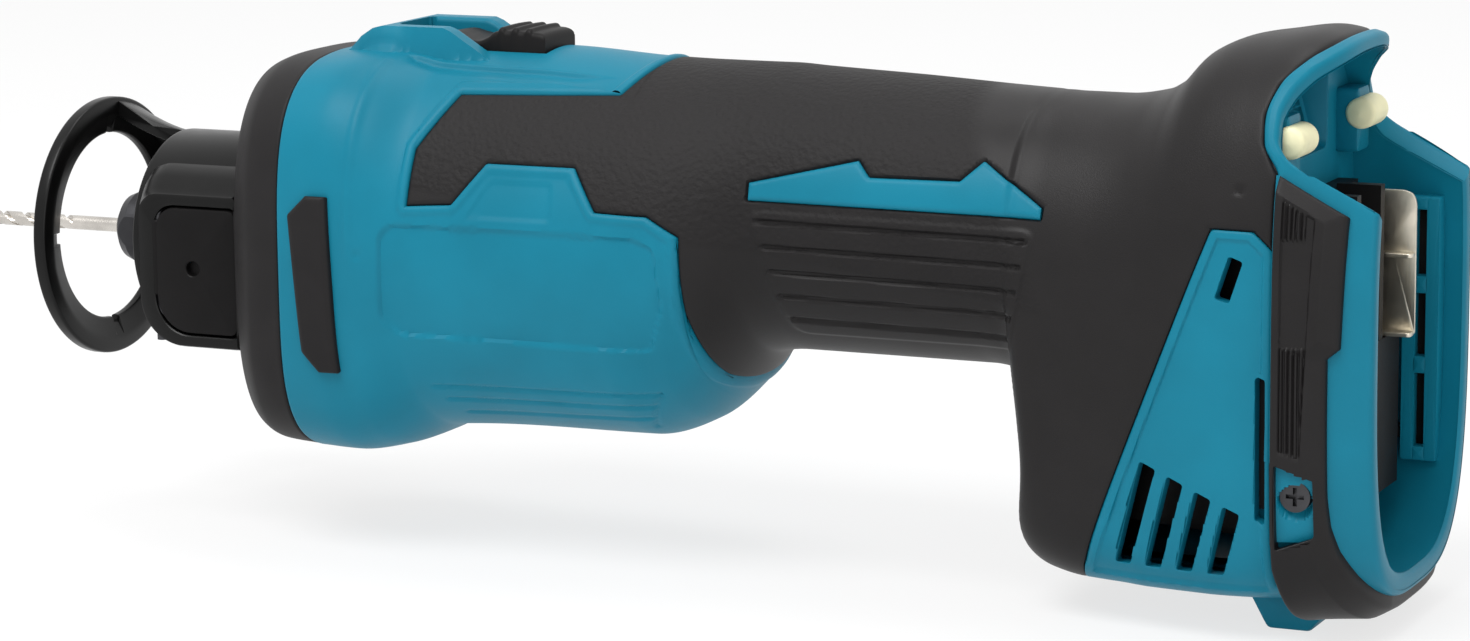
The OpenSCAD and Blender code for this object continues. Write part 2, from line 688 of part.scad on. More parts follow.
stator_slots = 6;
module stator_core() {
    color([0.45, 0.45, 0.47]) translate(shift) difference() {
        tube(stator_d / 2, rotor_d / 2 + 0.5, stator_x, stator_len);
        for (i = [0:stator_slots - 1])
            rotate([360 * (i + 0.5) / stator_slots, 0, 0]) translate([stator_x - 1, -2.2, rotor_d / 2 + 3])
                cube([stator_len + 2, 4.4, stator_d / 2 - rotor_d / 2 - 8]);
    }
}
coil_out = 6;
module stator_coils() {
    color(copper) translate(shift)
        for (x = [stator_x - coil_out, stator_x + stator_len])
            tube(mix(rotor_d, stator_d, 0.62) / 2, mix(rotor_d, stator_d, 0.19) / 2, x, coil_out);
}
module rotor_core() {
    color([0.4, 0.4, 0.42]) translate(shift)
        tube(rotor_d / 2, spindle_d / 2 + race_gap, stator_x, stator_len);
}

// Spindle with the threaded nose that takes the collet
spindle_nose = nut_face + 6;
collet_r = 3.6;
module spindle() {
    r = spindle_d / 2;
    color(steel) translate(shift) turned([
        [0, spindle_nose + 16], [collet_r + 0.05, spindle_nose + 16], [collet_r + 0.05, spindle_nose],
        [6, spindle_nose], [6, bearing_front - 3], [r + 2, bearing_front - 3],
        [r + 2, bearing_front - 0.1], [r, bearing_front - 0.1],
        [r, stator_x + stator_len + 3], [spindle_tail_d / 2, stator_x + stator_len + 3],
        [spindle_tail_d / 2, bearing_rear + rear_bearing_w + 2], [0, bearing_rear + rear_bearing_w + 2]]);
}
// Fan behind the front bearing
fan_x = 4;
fan_w = 10;
module fan() {
    color(black) translate(shift) {
        tube(fan_d / 2, spindle_d / 2 + race_gap, fan_x, 2);
        tube(9, spindle_d / 2 + race_gap, fan_x + 2, fan_w - 2);
        for (i = [0:fan_blades - 1])
            rotate([360 * i / fan_blades, 0, 0]) translate([fan_x + 1, -0.7, 12]) rotate([18, 0, 0])
                cube([fan_w - 1, 1.4, fan_d / 2 - 14]);
    }
}
module collet() {
    color(steel) translate(shift) difference() {
        turned([[bit_d / 2 + 0.02, nut_face + 1.2], [4.6, nut_face + 1.2], [5.2, nut_face + 4],
                [collet_r, nut_face + 5.8], [collet_r, spindle_nose + 14],
                [bit_d / 2 + 0.02, spindle_nose + 14]]);
        for (i = [0:2]) rotate([60 * i, 0, 0]) translate([nut_face, -0.3, -10]) cube([14, 0.6, 20]);
    }
}
module collet_nut() {
    color(black) translate(shift) difference() {
        turned([[bit_d / 2 + 1.4, nut_face], [nut_d / 2 - 3, nut_face], [nut_d / 2 - 0.8, nut_face + 1.6],
                [nut_d / 2, nut_face + 3.6], [nut_d / 2, nut_back], [6.05, nut_back], [6.05, nut_face + 5],
                [5.3, nut_face + 4.2], [4.8, nut_face + 1], [bit_d / 2 + 1.4, nut_face + 1]]);
        for (side = [-1, 1])
            translate([nut_face + 5, side * (nut_d / 2 + 9.3), 0]) cube([18, 20, 40], center = true);
    }
}
// Spiral bit with two flutes and a plain guide point
flute_len = 25;
flute_turns = 2.2;
module cutting_bit() {
    color(steel) translate(shift) {
        translate([x_tip + flute_len + 2, 0, 0]) rotate([0, 90, 0])
            cylinder(d = bit_d, h = spindle_nose + 12 - x_tip - flute_len - 2, $fn = 32);
        translate([x_tip + 2, 0, 0]) rotate([0, 90, 0])
            linear_extrude(height = flute_len, twist = -360 * flute_turns, slices = 24, $fn = 12)
                difference() {
                    circle(d = bit_d, $fn = 12);
                    for (a = [0, 180]) rotate(a) translate([bit_d * 0.52, 0])
                        circle(d = bit_d * 0.55, $fn = 8);
                }
        turned([[0, x_tip], [0.5, x_tip], [0.8, x_tip + 2], [0, x_tip + 2]]);
    }
}

// Switch knob, its link and the switch that the link works
module switch_knob() {
    top = collar_rise + 2.1;
    z = channel_z + 0.3;
    color(black) translate(shift) {
        translate([0, knob_w / 2, 0]) rotate([90, 0, 0]) linear_extrude(height = knob_w) polygon([
            [knob_front, z], [knob_front + 2, z + 2.6], [knob_front + 6, z + 3.6],
            [knob_front + 10, z + 2.2],
            [knob_rear - 15, z + 2.6], [knob_rear - 12, top - 0.6], [knob_rear - 10.6, top - 0.6],
            [knob_rear - 10, top], [knob_rear - 8.8, top], [knob_rear - 8.2, top - 0.8],
            [knob_rear - 7, top - 0.8], [knob_rear - 6.4, top], [knob_rear - 5.2, top],
            [knob_rear - 4.6, top - 0.8], [knob_rear - 3.4, top - 0.8], [knob_rear - 2.8, top - 0.1],
            [knob_rear - 1.2, top - 0.4], [knob_rear, z + 3], [knob_rear, z]]);
    }
}
link_low = stator_d / 2 + 3.6;
module switch_link() {
    color(black) translate(shift) {
        translate([knob_rear - 18, -link_hw, link_low]) cube([10, 2 * link_hw, channel_z + 0.2 - link_low]);
        translate([knob_rear - 18, -link_hw, link_low]) cube([18, 2 * link_hw, 3]);
    }
}
module switch_body() {
    color([0.12, 0.12, 0.13]) translate(shift)
        translate([knob_rear + 1, -8, link_low - 2]) cube([16, 16, 8]);
}
module controller() {
    x = x_block + 18;
    color([0.1, 0.11, 0.12]) translate(shift) difference() {
        translate([x, -22, -40]) cube([x_bay - bay_wall - seat_gap - x, 44, 38]);
        for (i = [0:5]) translate([x - 1, -18 + i * 7, -37]) cube([4, 2, 32]);
    }
}

module terminal_block() {
    color(black) translate(shift) difference() {
        union() {
            translate([x_bay + seat_gap, -terminal_hw, terminal_low])
                cube([13, 2 * terminal_hw, terminal_top - terminal_low]);
            translate([x_bay + seat_gap, -terminal_hw, terminal_top]) cube([4, 2 * terminal_hw, 30]);
            translate([x_bay - bay_wall, -terminal_hw + 4.2, terminal_low + 6.2])
                cube([bay_wall + 1, 2 * terminal_hw - 8.4, 29.6]);
            translate([x_bay + 4, -9.4, terminal_top - 1]) cube([9, 2.6, 32]);
            translate([x_bay + 4, 6.8, terminal_top - 1]) cube([9, 2.6, 32]);
        }
        translate([x_bay + 7, -terminal_hw - 1, terminal_low - 1]) cube([10, 2 * terminal_hw + 2, 8]);
    }
}
blade_t = 0.8;
module terminal_blades() {
    color(nickel) translate(shift)
        for (y = [-15.4, 14.6]) {
            translate([x_bay + 4 + seat_gap, y, terminal_top + 0.1]) cube([14, blade_t, 29]);
            translate([x_bay + 4 + seat_gap, y - 3, terminal_top + 0.1]) cube([14, 3, blade_t]);
            translate([x_bay + 4 + seat_gap, y - 3, terminal_top + 16]) cube([14, 3, blade_t]);
        }
}
module buffers() { color(cream) translate(shift) buffer_pins(0); }

// A screw with a cross recess; its head's top lies at z = 0 and its shank points up
module cross_screw(length) {
    difference() {
        union() {
            cylinder(d = head_d, h = head_t);
            cylinder(d = screw_d, h = length);
        }
        for (size = [[3.6, 0.8], [0.8, 3.6]])
            translate([-size[0] / 2, -size[1] / 2, -1]) cube([size[0], size[1], 2.2]);
    }
}
module housing_screws() {
    color([0.25, 0.25, 0.26]) translate(shift) {
        for (s = half_screws)
            translate([s[0], s[2] * (screw_reach(s) - 6 + head_t), s[1]]) rotate([s[2] * 90, 0, 0])
                cross_screw(2 * screw_reach(s) - 14);
        bay_screw_places() translate([0, 0, 0.7]) cross_screw(bay_screw_len);
    }
}
module cover_screws() {
    color([0.25, 0.25, 0.26]) translate(shift)
        cover_screw_places() difference() {
            cylinder(d = cover_screw_d, h = wall + 3);
            translate([-1.1, -0.3, -1]) cube([2.2, 0.6, 1.8]);
            translate([-0.3, -1.1, -1]) cube([0.6, 2.2, 1.8]);
        }
}

// Lever outline in the side view, drawn out by grow: a plate with round corners
function arc(c, r, from, to, steps = 6) =
    [for (i = [0:steps]) let (a = mix(from, to, i / steps)) [c[0] + r * cos(a), c[1] + r * sin(a)]];
lever_top = 9;
lever_low = -18.5;
pivot_x = guide_face + 7.1;
lever_end = x_guide - 0.4;
lever_y = guide_r + 1.5;
pivot_y = -lever_y + lever_t / 2;
lever_corner = 8;
function lever_outline(grow) =
    let (x0 = pivot_x - grow, x1 = lever_end + grow, z0 = lever_low - grow, z1 = lever_top + grow,
         r = 3 + grow, rl = lever_corner + grow)
    concat(arc([x1 - r, z1 - r], r, 0, 90), arc([x0 + r, z1 - r], r, 90, 180),
           arc([x0 + rl, z0 + rl], rl, 180, 270), arc([x1 - r, z0 + r], r, 270, 360));

// A side-view outline between two places across the tool
module side_plate(points, y0, y1) {
    translate([0, y1, 0]) rotate([90, 0, 0]) linear_extrude(height = y1 - y0) polygon(points);
}

boss_top = lever_top + 3;
boss_low = lever_low - 3;
boss_corner = lever_corner + 2.5;
lever_gap = 0.5;
module depth_guide() {
    r_out = ring_d / 2;
    r_in = ring_bore / 2;
    boss_x = pivot_x - lever_t / 2 - lever_gap - 2;
    notch = 2.4;
    color(black) translate(shift) difference() {
        union() {
            turned([[0, guide_face], [guide_r - 1.5, guide_face], [guide_r, guide_face + 1.5],
                    [guide_r, x_guide], [0, x_guide]]);
            side_plate(concat([[x_guide, boss_top]], arc([boss_x + 4, boss_top - 4], 4, 90, 180),
                       arc([boss_x + boss_corner, boss_low + boss_corner], boss_corner, 180, 270),
                       [[x_guide, boss_low]]), -lever_y, 0);
            turned([[r_in, ring_face + 0.6], [r_in + 0.6, ring_face], [r_out - 0.8, ring_face],
                    [r_out, ring_face + 0.8], [r_out, ring_face + ring_t], [r_in, ring_face + ring_t]]);
            turned([[r_out - 4.4, ring_face + 1], [r_out, ring_face + 1], [r_out, ring_face + ring_t + 1],
                    [guide_r - 0.5, guide_face + 3], [guide_r - 4, guide_face + 3],
                    [r_out - 4.4, ring_face + ring_t + 1.4]], 72, 100);
        }
        translate([guide_face - 1, 0, 0]) rotate([0, 90, 0])
            cylinder(r = nose_d / 2 + nose_gap, h = guide_len + 2);
        side_plate(lever_outline(lever_gap), -lever_y - 1, -lever_y + lever_t + 0.3);
        side_plate([[pivot_x - lever_t / 2 - lever_gap, lever_low + 2.4], [pivot_x + 0.5, lever_low + 1],
                    [pivot_x + 4, lever_low + 1], [pivot_x + 4, lever_top + lever_gap],
                    [pivot_x - lever_t / 2 - lever_gap, lever_top + lever_gap]],
                   -lever_y - 1, -lever_y + lever_t + 0.3);
        side_plate([[lever_end - 1, lever_low - lever_gap], [x_guide + 1, lever_low - lever_gap],
                    [x_guide + 1, lever_top + lever_gap], [lever_end - 1, lever_top + lever_gap]],
                   -lever_y - 1, -lever_y + lever_t + 0.3);
        translate([pivot_x, pivot_y, boss_low + 1])
            cylinder(d = lever_pin_d + 0.02, h = boss_top - boss_low - 2);
        for (a = [0:90:270])
            rotate([a, 0, 0]) translate([ring_face - 1, -notch / 2, r_in - 2])
                cube([ring_t + 2, notch, 3.2]);
    }
}
module lever_pin() {
    color(steel) translate(shift) translate([pivot_x, pivot_y, boss_low + 1])
        cylinder(d = lever_pin_d, h = boss_top - boss_low - 2);
}
module lock_lever() {
    color([0.07, 0.07, 0.07]) translate(shift) difference() {
        union() {
            side_plate(lever_outline(0), -lever_y, -lever_y + lever_t);
            translate([pivot_x, pivot_y, lever_low + lever_corner])
                cylinder(d = lever_t, h = lever_top - 3 - lever_low - lever_corner);
        }
        translate([pivot_x, pivot_y, boss_low]) cylinder(d = lever_pin_d + 0.1, h = boss_top - boss_low);
        translate([mix(pivot_x, lever_end, 0.46), -lever_y + 1.6, mix(lever_low, lever_top, 0.52)])
            rotate([90, 0, 0]) cylinder(d = 3.4, h = 5);
    }
}

// Spindle lock: a sprung button in the right side of the cover
lock_out = collar_hw - 0.4;
lock_head_r = 4.4;
lock_head = 9;
lock_tip = spindle_d / 2 + 2.6;
module lock_window() {
    translate([lock_x, 20, 0]) rotate([-90, 0, 0]) cylinder(r = lock_head_r + 0.2, h = 40, $fn = 32);
}
module lock_button() {
    color(charcoal) translate(shift) translate([lock_x, 0, 0]) rotate([-90, 0, 0]) {
        translate([0, 0, lock_tip]) cylinder(d = lock_pin_d, h = lock_out - lock_tip - 2);
        translate([0, 0, lock_out - lock_head]) cylinder(r = lock_head_r, h = lock_head - 0.8);
        translate([0, 0, lock_out - 0.8]) cylinder(r1 = lock_head_r, r2 = lock_head_r - 0.8, h = 0.8);
    }
}
spring_turns = 5;
spring_wire = 0.8;
spring_r = lock_pin_d / 2 + 1.2;
spring_from = nose_d / 2 + spring_wire / 2 + 0.4;
spring_to = lock_out - lock_head - spring_wire / 2 - 0.3;
module lock_spring() {
    per_turn = 12;
    sides = 6;
    steps = spring_turns * per_turn;
    function coil(k) = let (a = 360 * k / per_turn, y = mix(spring_from, spring_to, k / steps))
        [for (i = [0:sides - 1]) let (b = 360 * i / sides, r = spring_r + spring_wire / 2 * cos(b))
            [lock_x + r * cos(a), y + spring_wire / 2 * sin(b), r * sin(a)]];
    color(steel) translate(shift) polyhedron(
        points = [for (k = [0:steps]) each coil(k)],
        faces = concat(
            [for (k = [0:steps - 1], i = [0:sides - 1]) let (j = (i + 1) % sides)
                [k * sides + i, (k + 1) * sides + i, k * sides + j]],
            [for (k = [0:steps - 1], i = [0:sides - 1]) let (j = (i + 1) % sides)
                [k * sides + j, (k + 1) * sides + i, (k + 1) * sides + j]],
            [[for (i = [0:sides - 1]) i]],
            [[for (i = [sides - 1:-1:0]) steps * sides + i]]));
}

housing_left();
housing_right();
grip_left();
grip_right();
front_cover();
front_pads();
bumper_left();
bumper_right();
nose_sleeve();
stator_core();
stator_coils();
front_bearing_outer();
rear_bearing_outer();
rear_bearing_seat();
switch_body();
controller();
terminal_block();
terminal_blades();
buffers();
housing_screws();
cover_screws();
spindle();
rotor_core();
fan();
front_bearing_inner();
rear_bearing_inner();
front_balls();
rear_balls();
collet();
collet_nut();
cutting_bit();
switch_knob();
switch_link();
depth_guide();
lever_pin();
lock_lever();
lock_button();
lock_spring();
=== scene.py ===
"""Looks of a cordless drywall cut-out tool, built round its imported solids."""

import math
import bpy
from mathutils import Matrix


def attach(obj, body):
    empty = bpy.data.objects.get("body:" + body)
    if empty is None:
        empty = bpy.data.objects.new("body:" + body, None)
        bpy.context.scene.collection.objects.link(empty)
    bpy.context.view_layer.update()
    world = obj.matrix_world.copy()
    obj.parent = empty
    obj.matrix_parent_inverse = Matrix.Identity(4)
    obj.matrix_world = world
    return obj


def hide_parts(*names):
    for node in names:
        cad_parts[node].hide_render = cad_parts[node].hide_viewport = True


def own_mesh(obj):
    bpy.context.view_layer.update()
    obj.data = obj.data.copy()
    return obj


bl_info = {
    "name": "Drywall cut-out tool",
    "version": (1, 0, 0),
    "blender": (4, 5, 0),
    "location": "3D View > Sidebar > Cut-out tool",
    "description": "Moulded housing, soft grip, bumper, finishes and stage of a cut-out tool",
    "category": "Object",
}

import bpy
import numpy as np
from mathutils import Matrix

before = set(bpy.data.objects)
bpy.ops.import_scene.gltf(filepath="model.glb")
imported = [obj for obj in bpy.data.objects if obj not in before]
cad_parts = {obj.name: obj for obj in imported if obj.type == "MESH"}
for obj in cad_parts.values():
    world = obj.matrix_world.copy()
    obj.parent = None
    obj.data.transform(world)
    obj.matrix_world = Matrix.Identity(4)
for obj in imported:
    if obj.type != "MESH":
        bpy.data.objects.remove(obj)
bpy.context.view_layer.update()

# Lengths below are in millimetres from the joint between the nose cover and the collar,
# and heights are counted from the spindle axis. This moves them into the part's frame.
ORIGIN = np.array([-67.0, 0.0, 61.5])
QUARTER_TURN = math.pi / 2

# Places along the body: front of the nose cover, front of the grip, back wall of the
# battery bay and rear end of the housing
COVER_FRONT, GRIP_START, BAY_BACK, REAR_END = -18.0, 30.0, 212.0, 236.0

# Depth to which the hidden edge of a patch of skin is sunk, and the least angle of a sharp edge
SKIRT = -1.8
SHARP = math.radians(35)

# Body sections: place, top, bottom, half width, height of the widest line, and the
# exponents that round the upper and the lower half
BODY = np.array([
    (0, 43.2, -42.2, 38.3, -2, 3.5, 3.7),
    (9.6, 44, -42.5, 39, -2, 3.5, 3.6),
    (17.3, 44.2, -41.3, 39, -2, 3, 3.1),
    (28, 44.6, -37.2, 38, 0, 2.1, 2.3),
    (48, 44.6, -36.6, 37.8, 0, 2, 2.05),
    (74, 43.2, -36.3, 37.8, 0, 2, 2.05),
    (85, 43, -32.5, 36.5, 2, 2, 2),
    (93, 43, -25.5, 33.4, 6, 2, 2),
    (101, 43, -16.8, 29.8, 12, 2.05, 2.05),
    (108, 42.6, -16, 29, 13, 2.1, 2.1),
    (130, 41.6, -16, 29, 13, 2.1, 2.1),
    (149, 40.5, -16, 29, 13, 2.1, 2.1),
    (155, 40.2, -16.8, 29, 12.5, 2.1, 2.1),
    (159, 40, -19.5, 29.2, 12, 2.1, 2.1),
    (160.4, 39.9, -42.5, 29.5, 8, 2.1, 2.1),
    (161.6, 39.9, -49.5, 29.8, 7, 2.1, 2.5),
    (164, 39.8, -53, 30.2, 5, 2.1, 4),
    (168, 39.75, -54.5, 30.8, 3, 2.15, 5),
    (174, 39.7, -55, 31.7, 2, 2.2, 6),
    (183, 41, -55, 33.2, 0, 2.3, 6.5),
    (189, 44, -55, 34.3, 0, 2.4, 7),
    (195, 50, -55, 35.2, 0, 2.5, 7),
    (201, 52.6, -55, 36, 0, 2.6, 7),
    (208, 53.8, -55, 36.7, 0, 2.7, 6.5),
    (216, 54.8, -55, 37, 0, 2.8, 5.5),
    (224, 53.2, -55, 36.5, 0, 2.8, 4),
    (236, 48.8, -55, 34.5, 0, 2.8, 3.2),
])
COVER = np.array([
    (-18, 37, -37, 25, -2, 2.8, 3),
    (-16.5, 39.2, -39.7, 28, -2, 2.9, 3.1),
    (-13, 41, -41.5, 32.6, -2, 3.1, 3.3),
    (-8, 42.4, -42, 36.6, -2, 3.3, 3.5),
    (0, 43, -42.1, 38.2, -2, 3.5, 3.7),
])

# Edges drawn in the side view, as places along the body and heights
GRIP_LOW = np.array([(30, 14.6), (40.3, 15.3), (47, 23.8), (67, 23.8), (73, 15.4), (84.5, 15), (91, 11)])
GRIP_HIGH = np.array([(30, 26), (36, 36.6), (71.4, 37.6), (75.4, 43.5)])
GRIP_FRONT = np.array([(98, -29), (94, -20), (91.7, -5), (91, 11)])
PANEL_FRONT = np.array([(174, -56), (176, -51), (204, 19.6)])
PANEL_TOP = 19.6
PANEL_CORNER = np.array([(216.8, 15.9), (212.6, 19.6)])
GRIP_REAR = np.array([(216.6, 16), (216.6, 30.4), (213.4, 36), (212.8, 41), (214.4, 46.6), (218, 50.6),
                      (222, 54), (222.6, 58)])
MOUTH = np.array([(236, 24), (223.6, 30.2), (218, 33.8), (216.2, 37), (216, 41), (217.2, 44.8), (220, 48.6),
                  (225, 52.8), (227, 58)])
BAND_FRONT, MOUTH_LOW = 216.6, 30.2
BAND_TOP = np.array([(BAND_FRONT, MOUTH_LOW), (223.6, MOUTH_LOW), (REAR_END, 24)])
TRIM_HIGH = np.array([(104.2, 22.2), (127.2, 27.5), (130, 24.4), (149.3, 24.6), (153.6, 28.6), (167, 20.3)])
TRIM_LOW = np.array([(104.2, 18.6), (167, 18.2)])
TRIM = np.vstack([TRIM_HIGH, TRIM_LOW[::-1]])
PAD_FRONT = np.array([(10, -21), (6, -16.8), (3.4, 11.4), (8, 15.6)])
PAD_REAR = np.array([(14.6, -21), (12.8, 15.6)])
BUMPER_FRONT = np.array([(224, -75), (222, -58), (219.5, -52), (217.5, -42), (217.5, 29.8)])
BUMPER_REAR = np.array([(236, -75), (234.8, -54), (231.6, -47.5), (229.2, -42), (228, -37), (227.6, -31),
                        (227.6, -4), (230, -2), (231, 22.6)])
BUMPER_HIGH = np.array([(217.5, 29.8), (231, 22.6)])
PATCH = np.array([(218.4, -22.5), (225.5, -25.5), (225.5, -36), (218.4, -38)])
LABEL = np.array([(24, 8.3), (26.4, 10.7), (81.5, 10.7), (86.4, 8.8), (88, -3.3), (84.5, -13.2),
                  (28, -12.9), (24, -9.2)])


# Shapes

def flow(places, values, x):
    """Monotone cubic through stations: the slope at a station is the harmonic mean of the
    slopes of the chords beside it, and none where they differ in sign."""
    width = np.diff(places)
    chord = np.diff(values) / width
    before = 2 * width[1:] + width[:-1]
    after = width[1:] + 2 * width[:-1]
    same = chord[:-1] * chord[1:] > 0
    left = np.where(same, chord[:-1], 1.0)
    right = np.where(same, chord[1:], 1.0)
    inner = np.where(same, (before + after) / (before / left + after / right), 0.0)
    slope = np.concatenate([chord[:1], inner, chord[-1:]])
    x = np.clip(x, places[0], places[-1])
    i = np.clip(np.searchsorted(places, x, side="right") - 1, 0, len(places) - 2)
    t = (x - places[i]) / width[i]
    rise = values[i] * (1 + 2 * t) * (1 - t) ** 2 + values[i + 1] * t * t * (3 - 2 * t)
    return rise + width[i] * (slope[i] * t * (1 - t) ** 2 - slope[i + 1] * t * t * (1 - t))


def section(body, x):
    """Top, bottom, half width, widest height and the two exponents of the body at x."""
    return [flow(body[:, 0], body[:, k], x) for k in range(1, 7)]


def skin(body, x, phi, side, off=0.0, low=0.0):
    """A point of the skin: the radius of a superellipse at polar angle phi, whose half
    width and reach are drawn out by off, and by low more underneath."""
    top, bottom, half, wide, upper, lower = section(body, x)
    above = phi >= 0
    reach = np.where(above, top - wide, wide - bottom + low) + off
    power = np.where(above, upper, lower)
    across = np.abs(np.cos(phi)) / (half + off)
    along = np.abs(np.sin(phi)) / reach
    radius = (across ** power + along ** power) ** (-1 / power)
    return np.stack([x + 0 * phi, side * radius * np.cos(phi), wide + radius * np.sin(phi)], axis=-1)


def angle_at(body, x, z):
    """Polar angle at which the skin at x reaches height z."""
    top, bottom, half, wide, upper, lower = section(body, x)
    above = z >= wide
    share = np.clip(np.abs(z - wide) / np.where(above, top - wide, wide - bottom), 0, 1)
    power = np.where(above, upper, lower)
    return np.arctan2(z - wide, half * (1 - share ** power) ** (1 / power))


def angle_beside(body, x, y):
    """Polar angle at which the upper skin at x is y from the middle plane."""
    top, _, half, wide, upper, _ = section(body, x)
    height = (top - wide) * (1 - np.clip(y / half, 0, 1) ** upper) ** (1 / upper)
    return np.arctan2(height, y + 0 * x)


def smooth(value, start, end):
    """Smooth step from 0 at start to 1 at end."""
    t = np.clip((value - start) / (end - start), 0, 1)
    return t * t * (3 - 2 * t)


def inset(x, z, outline):
    """Distance of side-view points from a closed outline, positive inside: the least
    distance to its edges, with the sign of how many edges a level ray crosses."""
    best = np.full(x.shape, 1e6)
    inside = np.zeros(x.shape, bool)
    for (ax, az), (bx, bz) in zip(outline, np.roll(outline, -1, axis=0)):
        dx, dz = bx - ax, bz - az
        t = np.clip(((x - ax) * dx + (z - az) * dz) / (dx * dx + dz * dz), 0, 1)
        best = np.minimum(best, np.hypot(x - ax - t * dx, z - az - t * dz))
        level = dz if dz else 1.0
        inside ^= ((az > z) != (bz > z)) & (x < ax + (z - az) * dx / level)
    return np.where(inside, best, -best)


def line_gap(x, z, a, b):
    """Distance of side-view points from the straight line between a and b."""
    dx, dz = b[0] - a[0], b[1] - a[1]
    t = np.clip(((x - a[0]) * dx + (z - a[1]) * dz) / (dx * dx + dz * dz), 0, 1)
    return np.hypot(x - a[0] - t * dx, z - a[1] - t * dz)


def graded(count, length, edge=1.2):
    """Steps from 0 to 1 that crowd together within edge of both ends."""
    close = np.array([0, 0.1, 0.25, 0.45, 0.7, 1.0]) * edge / max(length, 3 * edge)
    middle = np.linspace(close[-1], 1 - close[-1], max(count - 10, 4))
    return np.concatenate([close[:-1], middle, 1 - close[-2::-1]])


def by_length(body, start, end, count, edge=1.2):
    """Steps from 0 to 1 along the body, spaced by the length of its upper and lower line."""
    x = np.linspace(start, end, 1500)
    top, bottom = section(body, x)[:2]
    run = np.hypot(np.gradient(x), np.maximum(np.abs(np.gradient(top)), np.abs(np.gradient(bottom))))
    run = np.cumsum(run) - run[0]
    return np.interp(graded(count, run[-1], edge), run / run[-1], (x - start) / (end - start))


def patch(body, low, high, front, rear, rows, columns, steps=None):
    """Places and polar angles of a patch of skin. Rows go from angle low(x) to high(x), and
    columns from place front(z) to rear(z), found by repeated substitution along each row."""
    q = graded(rows, 60.0)[:, None]

    def height(x):
        angle = low(x) + (high(x) - low(x)) * q
        return skin(body, x, angle, 1)[..., 2]

    start = np.full(q.shape, float(np.mean(front(np.zeros(1)))))
    end = np.full(q.shape, float(np.mean(rear(np.zeros(1)))))
    for _ in range(14):
        start = front(height(start))
        end = rear(height(end))
    if steps is None:
        steps = graded(columns, float(np.mean(end - start)))
    x = start + (end - start) * steps[None, :]
    return x, low(x) + (high(x) - low(x)) * q


def over_height(line):
    """Place along the body on an edge line, as a function of height."""
    return lambda z: np.interp(z, line[:, 1], line[:, 0])


def curved(line):
    """Place along the body on a smooth edge line, as a function of height."""
    return lambda z: flow(line[:, 1], line[:, 0], z)


def over_place(line, body=BODY):
    """Polar angle of an edge line, as a function of the place along the body."""
    return lambda x: angle_at(body, x, np.interp(x, line[:, 0], line[:, 1]))


def level(z, body=BODY):
    """Polar angle of a level line on the skin."""
    return lambda x: angle_at(body, x, z + 0 * x)


def fixed(value):
    """The same value everywhere."""
    return lambda x: value + 0 * x


def rolled(distance, depth, width):
    """Sink of a rounded edge: a quarter ellipse that falls depth within width of the edge."""
    t = np.clip(1 - distance / width, 0, 1)
    return -depth * (1 - np.sqrt(np.maximum(0, 1 - t * t)))


def skirted(grid, body, x, phi, side, off):
    """The grid with one more line of points all round it, sunk to off, which closes its edge."""
    ring = np.pad(skin(body, x, phi, side, off), ((1, 1), (1, 1), (0, 0)), mode="edge")
    ring[1:-1, 1:-1] = grid
    return ring


def quads(grid, flip):
    """Faces of a grid of points, as rows of four numbers."""
    rows, columns = grid.shape[:2]
    i = np.arange((rows - 1) * (columns - 1))
    a = i // (columns - 1) * columns + i % (columns - 1)
    faces = np.stack([a, a + 1, a + 1 + columns, a + columns], axis=1)
    return faces[:, ::-1] if flip else faces


def slab(outline, axis, start, end, bevel):
    """A plate: its outline carried along an axis, drawn in by bevel at both ends, and closed
    by its own middle point. Returns a grid of loops."""
    outline = np.asarray(outline, float)
    middle = outline.mean(axis=0)
    loop = np.concatenate([outline, outline[:1]])
    reach = np.linalg.norm(loop - middle, axis=1, keepdims=True)
    step = bevel if end > start else -bevel
    stages = [(start, 1e9), (start, bevel), (start + 0.3 * step, 0.3 * bevel), (start + step, 0.0),
              (end - step, 0.0), (end - 0.3 * step, 0.3 * bevel), (end, bevel), (end, 1e9)]
    rows = []
    for place, draw in stages:
        flat = middle + (loop - middle) * np.clip(1 - draw / reach, 0, 1)
        rows.append(np.insert(flat, axis, place, axis=1))
    return np.stack(rows)


def sunk(outline, depths, place):
    """Walls of a hole: its outline grown along its normals and sunk, stage by stage."""
    along = np.roll(outline, -1, axis=0) - np.roll(outline, 1, axis=0)
    normal = np.stack([along[:, 1], -along[:, 0]], axis=1)
    normal = normal / np.linalg.norm(normal, axis=1, keepdims=True)
    loops = [outline + grow * normal for grow, depth in depths]
    return np.stack([place(np.concatenate([loop, loop[:1]]), depth)
                     for loop, (grow, depth) in zip(loops, depths)])


def on_skin(side, relief, low=0.0, body=BODY):
    """Puts side-view points on the detailed skin of one side, sunk straight to the middle."""
    def place(points, depth):
        x, z = points[:, 0], points[:, 1]
        found = skin(body, x, angle_at(body, x, z), side, relief(x, z), low)
        found[:, 1] -= side * depth
        return found
    return place


def kept(mask):
    """Which faces of a skirted grid stay, from the points that stay."""
    four = mask[:-1, :-1] & mask[1:, :-1] & mask[:-1, 1:] & mask[1:, 1:]
    return np.pad(four, 1, constant_values=True)


def sheet(side, area, relief, sink=SKIRT, hole=None, body=BODY, low=0.0):
    """One patch of a half, with whether its faces are turned: the skin drawn out by
    relief(x, z), with a skirt sunk to sink, and without the faces where hole(x, z) is above 0."""
    x, phi = area
    z = skin(body, x, phi, side)[..., 2]
    grid = skirted(skin(body, x, phi, side, relief(x, z), low), body, x, phi, side, sink)
    if hole is None:
        return grid, side > 0
    return grid, side > 0, kept(hole(x, z) < 0)


